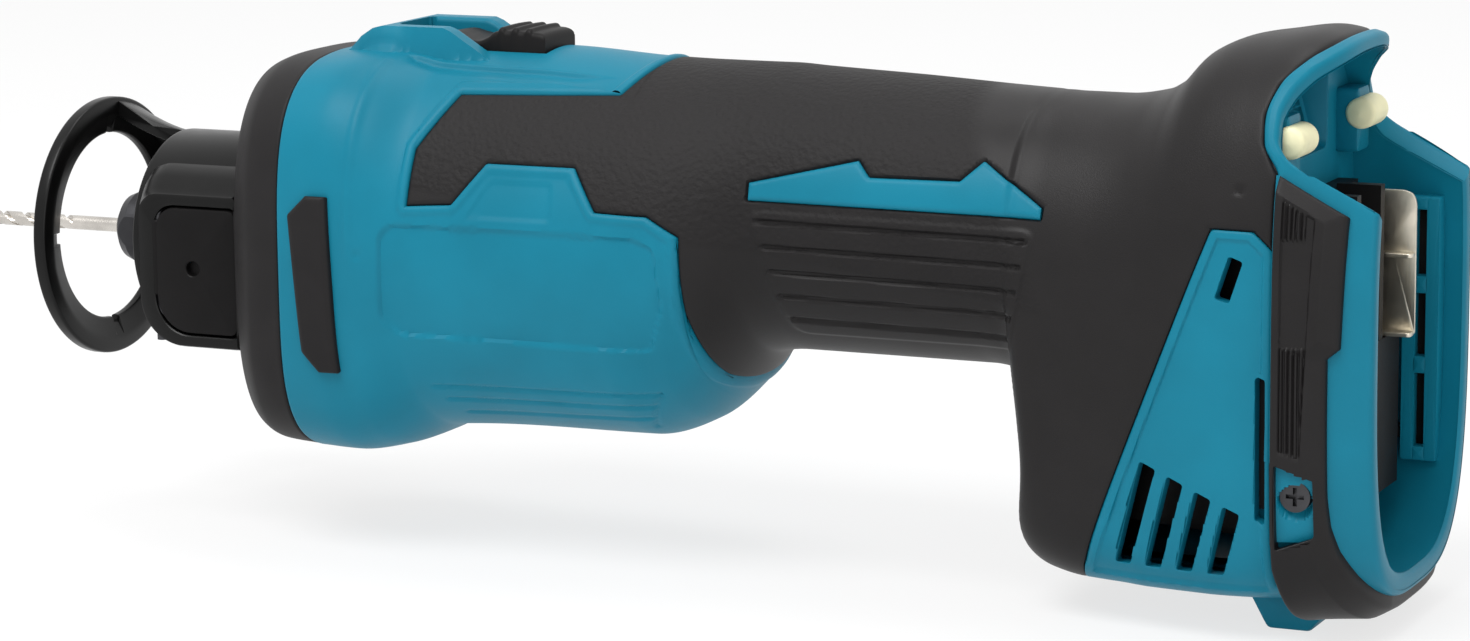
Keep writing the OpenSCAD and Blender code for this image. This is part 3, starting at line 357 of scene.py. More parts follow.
def rounded(outline, radius, steps=5):
    """An outline whose corners are replaced by parabolas that start radius from the corner."""
    p = np.asarray(outline, float)
    back = np.roll(p, 1, axis=0) - p
    ahead = np.roll(p, -1, axis=0) - p
    size_back = np.linalg.norm(back, axis=1, keepdims=True)
    size_ahead = np.linalg.norm(ahead, axis=1, keepdims=True)
    a = p + back / size_back * np.minimum(radius, 0.45 * size_back)
    b = p + ahead / size_ahead * np.minimum(radius, 0.45 * size_ahead)
    t = np.linspace(0, 1, steps)[None, :, None]
    curve = a[:, None] * (1 - t) ** 2 + 2 * p[:, None] * t * (1 - t) + b[:, None] * t * t
    return curve.reshape(-1, 2)


def piece(name, sheets, material, body, node=None):
    """One object from several grids, each given as points, whether its faces are turned and,
    where it has holes, which faces stay."""
    points, faces, base = [], [], 0
    for grid, flip, *mask in sheets:
        found = quads(grid, flip)
        faces.append((found[mask[0].ravel()] if mask else found) + base)
        points.append(grid.reshape(-1, 3))
        base += points[-1].shape[0]
    points = (np.concatenate(points) + ORIGIN) / 1000
    mesh = bpy.data.meshes.new(name)
    mesh.from_pydata(points.tolist(), [], np.concatenate(faces).tolist())
    mesh.validate()
    mesh.shade_smooth()
    mesh.set_sharp_from_angle(angle=SHARP)
    mesh.materials.append(material)
    thing = bpy.data.objects.new(name, mesh)
    bpy.context.scene.collection.objects.link(thing)
    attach(thing, body)
    if node:
        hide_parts(node)
    return thing


# Finishes

class Wire:
    """A shader value that takes part in plain arithmetic by adding Math nodes."""

    def __init__(self, finish, socket):
        self.finish = finish
        self.socket = socket

    def math(self, operation, first, second):
        """A Math node on two values."""
        return self.finish.node("ShaderNodeMath", {"operation": operation}, {0: first, 1: second})

    def __add__(self, other):
        return self.math("ADD", self, other)

    def __radd__(self, other):
        return self.math("ADD", other, self)

    def __sub__(self, other):
        return self.math("SUBTRACT", self, other)

    def __rsub__(self, other):
        return self.math("SUBTRACT", other, self)

    def __mul__(self, other):
        return self.math("MULTIPLY", self, other)

    def __rmul__(self, other):
        return self.math("MULTIPLY", other, self)

    def above(self, start, end):
        """Smooth step from 0 at start to 1 at end."""
        return self.finish.node(
            "ShaderNodeMapRange", {"interpolation_type": "SMOOTHSTEP"},
            {"Value": self, "From Min": start, "From Max": end})


class Finish:
    """A new material or world, its owner, and the nodes that feed its shader. Patterns are
    read on object coordinates."""

    def __init__(self, name, store="materials", shader="Principled BSDF"):
        self.owner = getattr(bpy.data, store).new(name)
        self.owner.use_nodes = True
        self.tree = self.owner.node_tree
        self.shader = self.tree.nodes[shader]

    def scaled(self):
        """Object coordinates in millimetres."""
        place = self.node("ShaderNodeTexCoord", {}, {}, "Object")
        return self.node("ShaderNodeVectorMath", {"operation": "SCALE"},
                         {"Vector": place, "Scale": 1000.0}, "Vector")

    def seen(self):
        """1 for rays from the camera, off glossy surfaces or through glass, and 0 for others."""
        camera, glossy, through = (self.node("ShaderNodeLightPath", {}, {}, "Is %s Ray" % kind)
                                   for kind in ("Camera", "Glossy", "Transmission"))
        return (camera + glossy + through).above(0.0, 1.0)

    def node(self, kind, settings, values, output=0):
        """Adds a node, sets it up, fills its sockets and returns one of its outputs."""
        made = self.tree.nodes.new(kind)
        for key, value in settings.items():
            setattr(made, key, value)
        for key, value in values.items():
            self.feed(made.inputs[key], value)
        return Wire(self, made.outputs[output])

    def feed(self, socket, value):
        """Links a shader value to a socket, or sets a plain value on it."""
        if isinstance(value, Wire):
            self.tree.links.new(value.socket, socket)
        else:
            socket.default_value = value

    def axis(self, name):
        """One of the three coordinates, in millimetres."""
        return self.node("ShaderNodeSeparateXYZ", {}, {"Vector": self.scaled()}, name)

    def noise(self, size, detail=2.0, stretch=(1, 1, 1)):
        """Cloudy noise whose lumps are about size millimetres."""
        where = self.node("ShaderNodeMapping", {}, {"Vector": self.scaled(), "Scale": stretch}, "Vector")
        return self.node("ShaderNodeTexNoise", {}, {"Vector": where, "Scale": 1 / size, "Detail": detail})

    def cells(self, size):
        """Distance to the nearest of scattered points about size millimetres apart."""
        return self.node("ShaderNodeTexVoronoi", {"feature": "SMOOTH_F1"},
                         {"Vector": self.scaled(), "Scale": 1 / size}, "Distance")

    def blend(self, factor, first, second):
        """A colour between two colours."""
        return self.node("ShaderNodeMix", {"data_type": "RGBA"},
                         {"Factor": factor, 6: first, 7: second}, 2)

    def bump(self, height, strength, distance):
        """Tilts the shader's normal by a height."""
        self.feed(self.shader.inputs["Normal"], self.node(
            "ShaderNodeBump", {}, {"Height": height, "Strength": strength, "Distance": distance}))

    def set(self, **values):
        """Fills the shader's sockets, whose names are written with underscores."""
        for key, value in values.items():
            self.feed(self.shader.inputs[key.replace("_", " ")], value)


def shade(colour, factor):
    """A colour made lighter or darker, with its alpha kept."""
    return tuple(min(1.0, c * factor) for c in colour[:3]) + (1.0,)


def blue_plastic(colour):
    """Satin moulded plastic: fine spark-eroded grain and faint flow clouds."""
    f = Finish("blue_plastic")
    cloud = f.noise(22.0, 3.0)
    grain = f.noise(0.35, 2.0)
    f.set(Base_Color=f.blend(cloud.above(0.3, 0.7), shade(colour, 0.94), shade(colour, 1.06)),
          Roughness=0.36 + 0.1 * grain + 0.05 * cloud, Specular_IOR_Level=0.16)
    f.bump(grain, 0.22, 0.00008)
    return f.owner


def soft_grip(colour):
    """Elastomer: leather-like grain on the barrel's shoulder and the handle's top, and
    smooth moulded skin elsewhere."""
    f = Finish("soft_grip")
    x = f.axis("X")
    z = f.axis("Z")
    field = (1 - (x + 0.55 * z).above(133.0, 139.0)) * (z + 0.14 * x).above(74.0, 76.0)
    leather = f.cells(1.1) + 0.5 * f.noise(0.5, 2.0)
    fine = f.noise(0.3, 2.0)
    dust = f.noise(14.0, 3.0)
    f.set(Base_Color=f.blend(dust.above(0.3, 0.75), shade(colour, 0.9), shade(colour, 1.12)),
          Roughness=0.42 + 0.16 * field + 0.08 * dust, Specular_IOR_Level=0.22)
    f.bump(field * leather + 0.2 * fine, 0.6, 0.0003)
    return f.owner


def moulded(name, colour, roughness, shine=0.2, grain_size=0.4, grain=0.2):
    """Plain moulded plastic with a fine grain."""
    f = Finish(name)
    cloud = f.noise(12.0, 3.0)
    fine = f.noise(grain_size, 2.0)
    f.set(Base_Color=f.blend(cloud.above(0.3, 0.7), shade(colour, 0.88), shade(colour, 1.14)),
          Roughness=roughness + 0.08 * fine, Specular_IOR_Level=shine)
    f.bump(fine, grain, 0.00008)
    return f.owner


def turned_metal(name, colour, roughness, stretch=(1, 0.06, 0.06)):
    """Machined metal: fine tool marks that run round the spindle axis."""
    f = Finish(name)
    marks = f.noise(0.25, 3.0, stretch)
    cloud = f.noise(6.0, 3.0)
    f.set(Base_Color=f.blend(cloud.above(0.3, 0.7), shade(colour, 0.86), shade(colour, 1.1)),
          Metallic=1.0, Roughness=roughness + 0.14 * marks)
    f.bump(marks, 0.12, 0.00005)
    return f.owner


def banded(name, colour, dark, bands, metal, roughness, bump):
    """Metal in fine bands along the spindle, as layers of wire or stacked sheets show them:
    bands gives their scale and distortion, and bump its strength and depth."""
    f = Finish(name)
    wave = f.node("ShaderNodeTexWave", {"bands_direction": "X"},
                  {"Vector": f.scaled(), "Scale": bands[0], "Distortion": bands[1]}, 1)
    f.set(Base_Color=f.blend(wave, shade(colour, dark), shade(colour, 1.15)), Metallic=metal,
          Roughness=roughness)
    f.bump(wave, *bump)
    return f.owner


FINISHES = {}


def finish(name):
    """A finish by its name. All of them are made at the first call."""
    if not FINISHES:
        look = bpy.context.scene.cutout_looks
        FINISHES.update(
            blue=blue_plastic(look.blue),
            grip=soft_grip(look.grip),
            cover=moulded("cover_plastic", look.cover, 0.5),
            gloss=moulded("gloss_black", look.gloss, 0.26, 0.2, 3.0, 0.05),
            lever=moulded("lever_plastic", look.lever, 0.42, 0.12),
            black=moulded("black_plastic", look.lever, 0.45, 0.15),
            cream=moulded("cream_rubber", look.cream, 0.5, 0.4, 1.2, 0.15),
            steel=turned_metal("ground_steel", look.steel, 0.24),
            dark=turned_metal("blackened_steel", look.dark_steel, 0.36),
            bit=turned_metal("bit_steel", look.bit, 0.2),
            nickel=turned_metal("dull_nickel", look.nickel, 0.26, (1, 1, 0.1)),
            copper=banded("copper_wire", look.copper, 0.7, (0.4, 0.6), 1.0, 0.32, (0.5, 0.0002)),
            sheets=banded("stacked_steel", look.sheets, 0.75, (0.32, 0.0), 0.9, 0.48, (0.3, 0.0001)))
    return FINISHES[name]


# Pieces

def barrel_relief(x, z):
    """Depth of the moulded detail on the barrel: the sunk label field, the sunk badge field,
    nested lines low down, the crease behind the collar and a gate mark."""
    relief = -0.7 * smooth(inset(x, z, rounded(LABEL, 1.5)), -0.1, 0.5)
    badge = inset(x, z, rounded([(43.6, 12.6), (63.6, 12.8), (62.6, 20.6), (48.4, 20.4)], 1.2))
    relief = relief - 0.3 * smooth(badge, 0.0, 0.5)
    for a, b in (((32.5, -24.3), (83.1, -23.3)), ((34.1, -27.5), (80.9, -26.4)), ((36.2, -31), (78.6, -29.5)),
                 ((83.1, -23.3), (77.9, -32))):
        relief = relief - 0.4 * (1 - smooth(line_gap(x, z, a, b), 0.1, 0.6))
    crease = np.exp(-((x - 17.2) / 1.1) ** 2) * smooth(z, -2, 10)
    return relief + 0.4 * crease - 0.25 * (1 - smooth(np.hypot(x - 19.5, z - 4.0), 0.6, 1.0))


# Half width of the strip along the top
DECK = 18.6


def lip(gap):
    """Height of the raised lip within about 2 mm of an edge."""
    return 0.45 * (1 - smooth(gap, 1.5, 2.3))


def shell_half(side):
    """Blue skin of one half: collar, barrel and top, with a raised lip along the grip."""
    beside = lambda x: angle_beside(BODY, x, DECK)
    bottom = fixed(-QUARTER_TURN)
    front = fixed(GRIP_START)
    under = over_place(np.vstack([GRIP_LOW, GRIP_FRONT[::-1][1:]]))
    areas = [
        patch(BODY, bottom, beside, fixed(0.0), front, 180, 70),
        patch(BODY, bottom, under, front, over_height(GRIP_FRONT), 150, 120),
        patch(BODY, over_place(GRIP_HIGH), beside, front, fixed(72.2), 24, 110),
    ]
    outline = np.vstack([GRIP_LOW, [(140, 11), (140, 70), (75.4, 70)], GRIP_HIGH[::-1]])
    tail = np.vstack([GRIP_FRONT, [(140, 11), (140, -80), (98, -80)]])

    def relief(x, z):
        gap = -np.maximum(inset(x, z, outline), inset(x, z, tail))
        return barrel_relief(x, z) + lip(gap) + rolled(gap, 1.0, 0.9) + rolled(x, 0.7, 0.8)

    return [sheet(side, area, relief) for area in areas] + [(top_strip(side), side < 0)]


# Half width of the switch channel, outer shoulder of its guard ridges, ends and floor
CHANNEL, RIDGE = 7.5, 12.1
CHANNEL_FRONT, CHANNEL_REAR, CHANNEL_FLOOR = 13.4, 48.6, 41.4


def top_strip(side):
    """Strip along the top: the skin's height over place and width, with a shallow step beside
    the deck, a guard ridge beside the knob and the channel between the ridges."""
    y = np.concatenate([np.linspace(0, 7.3, 16), CHANNEL + np.array([0, 0.06, 0.25, 0.6, 1.1]),
                        np.linspace(9.2, 10.8, 5), RIDGE - np.array([0.9, 0.5, 0.2, 0.05, 0]),
                        np.linspace(12.3, 13.8, 6), np.linspace(14.0, 15.0, 7),
                        np.linspace(15.3, DECK, 10)])[:, None]
    edge = 43.2 * np.sqrt(1 - (y / 37.8) ** 2)
    rear = np.interp(edge, GRIP_HIGH[2:, 1], GRIP_HIGH[2:, 0])
    x = graded(200, 80.0)[None, :] * rear
    top, _, half, wide, upper, _ = section(BODY, x)
    z = wide + (top - wide) * (1 - (y / half) ** upper) ** (1 / upper)
    along = smooth(x, 19, 22) * (1 - smooth(x, 58, 70))
    z = z - 1.0 * along * smooth(y, 14.1, 14.8) * (1 - smooth(y, 14.8, DECK))
    z = z + lip(rear - x) + rolled(np.minimum(rear - x, x), 1.0, 0.9)
    crest = np.interp(x, [3, 6.8, 9.6, 12, 26.5, 28.3, 38.8, 60],
                      [42.4, 46.4, 48.2, 48.8, 48.8, 48.1, 41.6, 28])
    inner = np.where(x < CHANNEL_FRONT + 0.8, 99, y - CHANNEL)
    crest = crest + rolled(np.minimum(13.4 - y, inner), 1.2, 1.2)
    draft = 1.6 + 3.6 * smooth(x, 15, 21)
    crest = np.where(y > RIDGE, crest - draft * (y - RIDGE), crest)
    z = np.where((y >= CHANNEL) | (x < CHANNEL_FRONT), np.maximum(z, crest), z)
    floor = (y < CHANNEL - 0.1) & (x > CHANNEL_FRONT) & (x < CHANNEL_REAR)
    return np.stack([x, side * y + 0 * x, np.where(floor, CHANNEL_FLOOR, z)], axis=-1)


# Ends and half width of the switch knob
KNOB_FRONT, KNOB_REAR, KNOB_HALF = 20.0, 48.0, 7.0


def knob_sheets():
    """Switch knob: its height over place and width has a low front hump, a finger hollow and
    a ribbed block, and all its upper edges are rounded. A flat sheet closes it below."""
    length = KNOB_REAR - KNOB_FRONT
    x = KNOB_FRONT + length * graded(150, length)[None, :]
    y = KNOB_HALF * np.linspace(-1, 1, 61)[:, None]
    z = flow(np.array([20, 21.5, 24.5, 28.0, 31.5, 34.0, 36.0, 38.0, 46.0, 48.0]),
             np.array([45.0, 46.2, 46.9, 46.2, 45.6, 46.4, 47.7, 48.0, 47.8, 47.3]), x)
    for place in (37.6, 40.8, 44.0):
        z = z + 0.7 * np.exp(-((x - place) / 0.75) ** 4)
    gap = np.minimum(np.minimum(x - KNOB_FRONT, KNOB_REAR - x), KNOB_HALF - np.abs(y))
    z = z + 0.2 * (1 - (y / KNOB_HALF) ** 2) + rolled(gap, 1.1, 1.0)
    grid = np.stack([x + 0 * y, y + 0 * x, z], axis=-1)
    ring = np.pad(grid, ((1, 1), (1, 1), (0, 0)), mode="edge")
    edge = np.ones(ring.shape[:2], bool)
    edge[1:-1, 1:-1] = False
    ring[edge, 2] = 42.8
    floor = ring[[0, -1]][:, [0, -1]]
    return [(ring, True), (floor, False)]


# Edge of a hole in the skin: how far its outline is grown and how deep it is sunk
HOLE_EDGE = ((1.0, -0.02), (0.5, -0.03), (0.12, -0.03), (0, 0.1))


def panel_slots():
    """Outlines of the openings in the rear side panel: slanted vents, a window and a slit."""
    slots = []
    for i in range(4):
        foot, high = 185.0 + 6.6 * i, -29.5 - 2.4 * i
        head = foot + (high + 49.6) * 0.31
        slots.append([(foot - 1.7, -49.0), (foot + 1.7, -49.0),
                      (head + 1.7, high + 0.6), (head - 1.7, high + 2.0)])
    slots.append([(205.0, 6.2), (208.0, 5.4), (210.7, 13.6), (207.8, 14.6)])
    slots.append([(213.5, -37.0), (215.6, -37.0), (215.6, -8.6), (213.5, -8.6)])
    return [rounded(slot, 0.7) for slot in slots]


def panel_relief(x, z):
    """Depth of the side panel: a field sunk within a raised lip, with a rounded edge."""
    field = np.array([(172, -53.5), (176, -51), (204, 19.6), (212.6, 19.6), (216.8, 15.9), (216.8, -53.5)])
    gap = inset(x, z, rounded(field, 1.0))
    return -0.5 * smooth(gap, 1.8, 2.3) + rolled(np.where(z < -50, 9, gap), 0.8, 0.9)


def rear_half(side):
    """Blue skin of the rear block: side panel with its openings, band under the bumper and
    rim of the mouth."""
    bottom = fixed(-QUARTER_TURN)
    corner = over_height(np.vstack([[(216.8, -90)], PANEL_CORNER]))
    panel = patch(BODY, bottom, level(PANEL_TOP), over_height(PANEL_FRONT), corner, 240, 100)
    slots = panel_slots()
    hole = lambda x, z: np.max([inset(x, z, slot) for slot in slots], axis=0)
    place = on_skin(side, panel_relief)
    sheets = [(sunk(slot, HOLE_EDGE + ((0, 3.0),), place), side > 0) for slot in slots]
    sheets.append(sheet(side, panel, panel_relief, hole=hole))
    x, phi = patch(BODY, bottom, over_place(BAND_TOP), fixed(BAND_FRONT), fixed(REAR_END), 160, 40)
    z = skin(BODY, x, phi, side)[..., 2]
    gap = np.minimum(REAR_END - x, 0.87 * (np.interp(x, [223.6, REAR_END], [31.4, 24.0]) - z))
    sheets.append((skin(BODY, x, phi, side, rolled(gap, 1.0, 1.1)), side > 0))

    def mouth_relief(x, z):
        gap = np.minimum(x - curved(GRIP_REAR)(z), curved(MOUTH)(z) - x)
        return 0.3 * smooth(z, MOUTH_LOW, 34.0) + rolled(gap, 1.1, 1.2)

    mouth = patch(BODY, level(MOUTH_LOW), fixed(QUARTER_TURN), curved(GRIP_REAR), curved(MOUTH), 110, 26)
    return sheets + [sheet(side, mouth, mouth_relief)] + bay_half(side)


def vent_liner(side):
    """Dark sheet behind the openings of one side panel."""
    x, phi = patch(BODY, level(-51.0), level(17.0), fixed(180.0), fixed(212.0), 12, 14)
    near, angle = patch(BODY, level(-38.0), level(-7.5), fixed(212.8), fixed(216.2), 8, 4)
    strip = rounded([(225.8, -35.4), (229.6, -35.4), (229.6, 17.4), (225.8, 17.4)], 0.3)
    return [(skin(BODY, x, phi, side, -8.0), side > 0), (skin(BODY, near, angle, side, -3.4), side > 0),
            (slab(strip, 1, side * 29.4, side * 30.4, 0.2), side < 0)]


def thick(z):
    """Thickness of the bay's wall, thinner towards the top."""
    return 4.2 - 1.9 * smooth(z, 32.0, 42.0)


def rim(side):
    """Edge of the mouth, from the outer skin to the inner one and bulging a little outwards.
    Its path is found by repeated substitution from angle to place."""
    corner = float(angle_at(BODY, np.array([REAR_END]), np.array([24.0]))[0])
    phi = np.concatenate([np.linspace(-QUARTER_TURN, corner, 110)[:-1],
                          np.linspace(corner, QUARTER_TURN, 120)])
    x = np.full(phi.shape, 220.0)
    for _ in range(40):
        x = 0.5 * (x + curved(MOUTH)(skin(BODY, x, phi, side)[..., 2]))
    x[phi <= corner] = REAR_END
    t = np.linspace(0, 1, 9)[:, None]
    wall = thick(skin(BODY, x, phi, side)[..., 2])[None, :]
    grid = skin(BODY, x[None, :] + 0 * t, phi[None, :] + 0 * t, side, -wall * t)
    grid[..., 0] += 0.7 * np.sqrt(np.maximum(0, 1 - (2 * t - 1) ** 2)) - 0.7
    return grid


# Half width, middle height and half height of the opening for the latch pocket
LATCH_HALF, LATCH_MIDDLE, LATCH_HIGH = 13.2, 37.5, 8.7


def bay_half(side):
    """Inside of one half of the battery bay: walls, rim, back wall, slotted rail, buffer
    cradle and foot."""
    turn = side > 0
    back = fixed(BAY_BACK)
    x, phi = patch(BODY, fixed(-QUARTER_TURN), over_place(BAND_TOP), back, fixed(235.4), 100, 24)
    sheets = [(skin(BODY, x, phi, side, -thick(-99.0)), not turn)]
    x, phi = patch(BODY, level(MOUTH_LOW), fixed(QUARTER_TURN), back, curved(MOUTH), 60, 14)
    sheets.append((skin(BODY, x, phi, side, -thick(skin(BODY, x, phi, side)[..., 2])), not turn))
    sheets.append((rim(side), turn))
    phi = np.linspace(-QUARTER_TURN, QUARTER_TURN, 120)
    share = np.linspace(0, 1, 60)[:, None]
    place = back(phi)
    edge = skin(BODY, place, phi, side, -thick(skin(BODY, place, phi, side)[..., 2]))
    wide = section(BODY, np.array([BAY_BACK]))[3]
    y = edge[None, :, 1] * share
    z = wide + (edge[None, :, 2] - wide) * share
    latch = (np.abs(y) < LATCH_HALF) & (np.abs(z - LATCH_MIDDLE) < LATCH_HIGH)
    mask = ~(latch[:-1, :-1] | latch[1:, :-1] | latch[:-1, 1:] | latch[1:, 1:])
    sheets.append((np.stack([back(y), y, z], axis=-1), turn, mask))
    bars = [(224.0, 226.6, -36.0, 18.0), (228.8, 231.4, -36.0, 18.0), (226.2, 229.2, 15.4, 18.0),
            (226.2, 229.2, -1.6, 2.0), (226.2, 229.2, -18.0, -14.4), (226.2, 229.2, -36.0, -33.0)]
    for near, far, low, high in bars:
        bar = rounded([(near, low), (far, low), (far, high), (near, high)], 0.5)
        sheets.append((slab(bar, 1, side * 26.8, side * 33.0, 0.4), side < 0))
    cradle = rounded([(side * 19, 27.4), (side * 27, 27.4), (side * 27, 40.4), (side * 19, 40.4)], 1.0)
    sheets.append((slab(cradle, 0, 211.5, 216.5, 0.7), turn))
    foot = [(206.5, -53.0), (210.4, -60.3), (211.2, -61.5), (219.8, -61.5), (222.0, -58.9), (222.0, -53.0)]
    sheets.append((slab(rounded(foot, 0.8), 1, 0.0, side * 20.0, 0.8), side < 0))
    return sheets


def latch_pocket():
    """Pocket of the battery's latch in the bay's back wall, with a floor that slants inwards."""
    def place(points, depth):
        slant = depth * (1 + 0.5 * (points[:, 1] - LATCH_MIDDLE) / 8.5)
        return np.stack([BAY_BACK - slant, points[:, 0], points[:, 1]], axis=-1)

    outline = rounded([(-12.8, 29.2), (12.8, 29.2), (12.8, 45.8), (-12.8, 45.8)], 1.6)
    depths = ((2.6, -0.05), (0.2, -0.08), (0, 0.2), (-0.6, 4.6), (-1.2, 5.0), (-6.0, 5.0), (-8.2, 5.0))
    return sunk(outline, depths, place), False


def trim_half(side):
    """Blue blade let into the handle."""
    area = patch(BODY, over_place(TRIM_LOW), over_place(TRIM_HIGH), fixed(104.4), fixed(166.8), 30, 150)
    return [sheet(side, area, lambda x, z: 0.25 + rolled(inset(x, z, TRIM), 0.9, 1.1), -1.4)]


def grip_relief(x, z):
    """Depth of the grip's detail: the ribbed field on the handle with its cross grooves, the
    seat of the blade and a gate mark."""
    field = inset(x, z, rounded([(104.5, 16.6), (166.0, 16.0), (160.5, -9.5), (111.0, -9.5)], 3.0))
    relief = 0.35 * smooth(field, -0.4, 0.6)
    for i in range(5):
        z0 = 14.5 - 5.1 * i
        inside = smooth(field, 0.6, 1.4)
        relief = relief - 0.75 * inside * (1 - smooth(line_gap(x, z, (103, z0), (168, z0 - 0.9)), 0.2, 0.8))
    relief = relief - 1.2 * smooth(inset(x, z, TRIM), -0.5, 0.3)
    return relief - 0.5 * (1 - smooth(np.hypot(x - 209.5, z - 27.0), 0.5, 1.1))


def grip_half(side):
    """Soft grip of one half: shoulder band on the barrel, handle and front of the block, whose
    lower part is nudged forward."""
    high = lambda x: np.where(x < 75.2, over_place(GRIP_HIGH)(x), QUARTER_TURN)
    front = over_height(np.vstack([GRIP_FRONT, [(91, 12)]]))
    areas = [
        patch(BODY, over_place(GRIP_LOW), high, fixed(GRIP_START), fixed(91.0), 70, 140),
        patch(BODY, fixed(-QUARTER_TURN), level(PANEL_TOP), front, over_height(PANEL_FRONT), 190, 200,
              by_length(BODY, 94.0, 190.0, 200)),
        patch(BODY, level(PANEL_TOP), fixed(QUARTER_TURN), fixed(91.0), curved(GRIP_REAR), 110, 240,
              by_length(BODY, 91.0, 216.0, 240)),
        patch(BODY, level(15.9), level(PANEL_TOP), over_height(PANEL_CORNER), fixed(216.7), 16, 16),
    ]
    outline = np.vstack([
        GRIP_LOW, GRIP_FRONT[::-1][1:], [(98, -90), (172, -90)], PANEL_FRONT, PANEL_CORNER[::-1], GRIP_REAR,
        [(222.6, 90), (75.4, 90)], GRIP_HIGH[::-1]])
    relief = lambda x, z: grip_relief(x, z) + rolled(inset(x, z, outline), 0.7, 0.9)
    sheets = [sheet(side, area, relief) for area in areas]
    for grid, _ in sheets:
        forward = np.exp(-((grid[..., 2] + 46) / 10) ** 2) * (1 - smooth(grid[..., 0], 163, 174))
        grid[..., 0] -= 2.4 * forward
    return sheets


# Place along the body and radius of the hole of the lock button
LOCK_X, LOCK_HOLE = -5.0, 4.6


def cover_relief(x, z):
    """Rounded rear edge of the nose cover."""
    return rolled(-x, 0.7, 0.8)


def lock_hole():
    """Round hole of the lock button: loops from a rectangle on the cover to the sunk circle."""
    turn = np.linspace(0, 2 * math.pi, 97)
    ray = np.stack([np.cos(turn), np.sin(turn)], axis=1)
    wide = np.where(ray[:, 0] > 0, 4.95, 6.0)
    square = 1 / np.maximum(np.abs(ray[:, 0]) / wide, np.abs(ray[:, 1]) / 6.0)
    stages = ((1, -0.02), (0.75, -0.02), (0.5, -0.02), (0.25, -0.02), (0.08, -0.02), (0, 0.12), (0, 6.0))
    place = on_skin(1, cover_relief, body=COVER)
    loops = []
    for share, depth in stages:
        reach = LOCK_HOLE + share * (square - LOCK_HOLE)
        loops.append(place(np.array([LOCK_X, 0.0]) + reach[:, None] * ray, depth))
    return np.stack(loops)


def cover_sheets(side):
    """One half of the nose cover: the drawn-in shell and its flat face round the sleeve. The
    right half leaves out the rectangle that carries the lock button's hole."""
    low, high = fixed(-QUARTER_TURN), fixed(QUARTER_TURN)
    area = patch(COVER, low, high, fixed(COVER_FRONT), fixed(0.0), 200, 60,
                 by_length(COVER, COVER_FRONT, 0.0, 60, 0.8))
    if side < 0:
        sheets = [sheet(side, area, cover_relief, body=COVER)]
    else:
        hole = lambda x, z: np.minimum(np.where(x > LOCK_X, 4.9, 5.4) - np.abs(x - LOCK_X), 5.4 - np.abs(z))
        sheets = [sheet(side, area, cover_relief, hole=hole, body=COVER), (lock_hole(), True)]
    phi = np.linspace(-QUARTER_TURN, QUARTER_TURN, 120)[None, :]
    front = np.full(phi.shape, COVER_FRONT)
    edge = skin(COVER, front, phi, side)
    sleeve = np.stack([front, side * 15.1 * np.cos(phi), 15.1 * np.sin(phi)], axis=-1)
    share = np.linspace(0, 1, 14)[:, None, None]
    return sheets + [(sleeve * (1 - share) + edge * share, side < 0)]


def pad_sheets(side):
    """Pad let into one side of the collar, with rounded edges."""
    area = patch(BODY, level(-21.0), level(15.6), over_height(PAD_FRONT), over_height(PAD_REAR), 90, 40)
    outline = np.vstack([PAD_FRONT, PAD_REAR[::-1]])
    return [sheet(side, area, lambda x, z: 1.6 + rolled(inset(x, z, outline), 1.1, 1.3), -0.6)]


def bumper_relief(x, z):
    """Height of the bumper over the skin: a wide chamfer at the rear and the top, a rounded
    edge, and a sunk field with upright ribs."""
    outline = np.vstack([BUMPER_FRONT[::-1], [(224, -99), (236, -99)], BUMPER_REAR])
    rear = np.vstack([[(190, -99), (236, -99)], BUMPER_REAR, [(217.5, 29.8), (190, 44)]])
    slope = np.clip(1 - inset(x, z, rear) / 3.6, 0, 1)
    off = 3.2 - 2.0 * slope + rolled(inset(x, z, outline), 0.6, 0.8)
    field = inset(x, z, rounded([(219.0, 24.6), (225.6, 21.2), (223.4, -21.6), (219.0, -20.6)], 0.6))
    off = off - 0.5 * smooth(field, 0.0, 0.4)
    for i in range(5):
        for low, high in ((17.5, 24.0), (-21.0, -2.0)):
            rib = line_gap(x, z, (219.6 + 0.95 * i, low), (219.6 + 0.95 * i, high))
            off = off + 0.5 * smooth(field, 0.2, 0.6) * (1 - smooth(rib, 0.1, 0.42))
    return off


def bumper_half(side):
    """One half of the bumper: a strip down the side and under the bay, with a window that
    frees the screw."""
    area = patch(BODY, fixed(-QUARTER_TURN), over_place(BUMPER_HIGH), over_height(BUMPER_FRONT),
                 over_height(BUMPER_REAR), 260, 60)
    window = rounded(PATCH[::-1], 0.5)
    edge = sunk(window, HOLE_EDGE + ((0, 2.6),), on_skin(side, bumper_relief, 1.2))
    hole = lambda x, z: inset(x, z, window)
    return [sheet(side, area, bumper_relief, -0.4, hole, low=1.2), (edge, side > 0)]


def patch_sheets(side):
    """Blue patch in the bumper's window, with the sunk seat of the screw."""
    area = patch(BODY, level(-38.3), level(-22.2), fixed(218.1), fixed(225.7), 44, 44)
    seat = lambda x, z: 1.6 - 2.4 * (1 - smooth(np.hypot(x - 222.0, z + 30.7), 3.1, 3.3))
    return [sheet(side, area, seat, 0.4)]


def turned(profile, angles, radius=None):
    """A profile of radius and place swept about the spindle axis through the angles, which
    start at the top and go towards the right side; radius may move it per angle."""
    r = profile[:, 0][:, None] + (0 if radius is None else radius)
    x = profile[:, 1][:, None] + 0 * angles[None, :]
    return np.stack([x, r * np.sin(angles), r * np.cos(angles)], axis=-1)


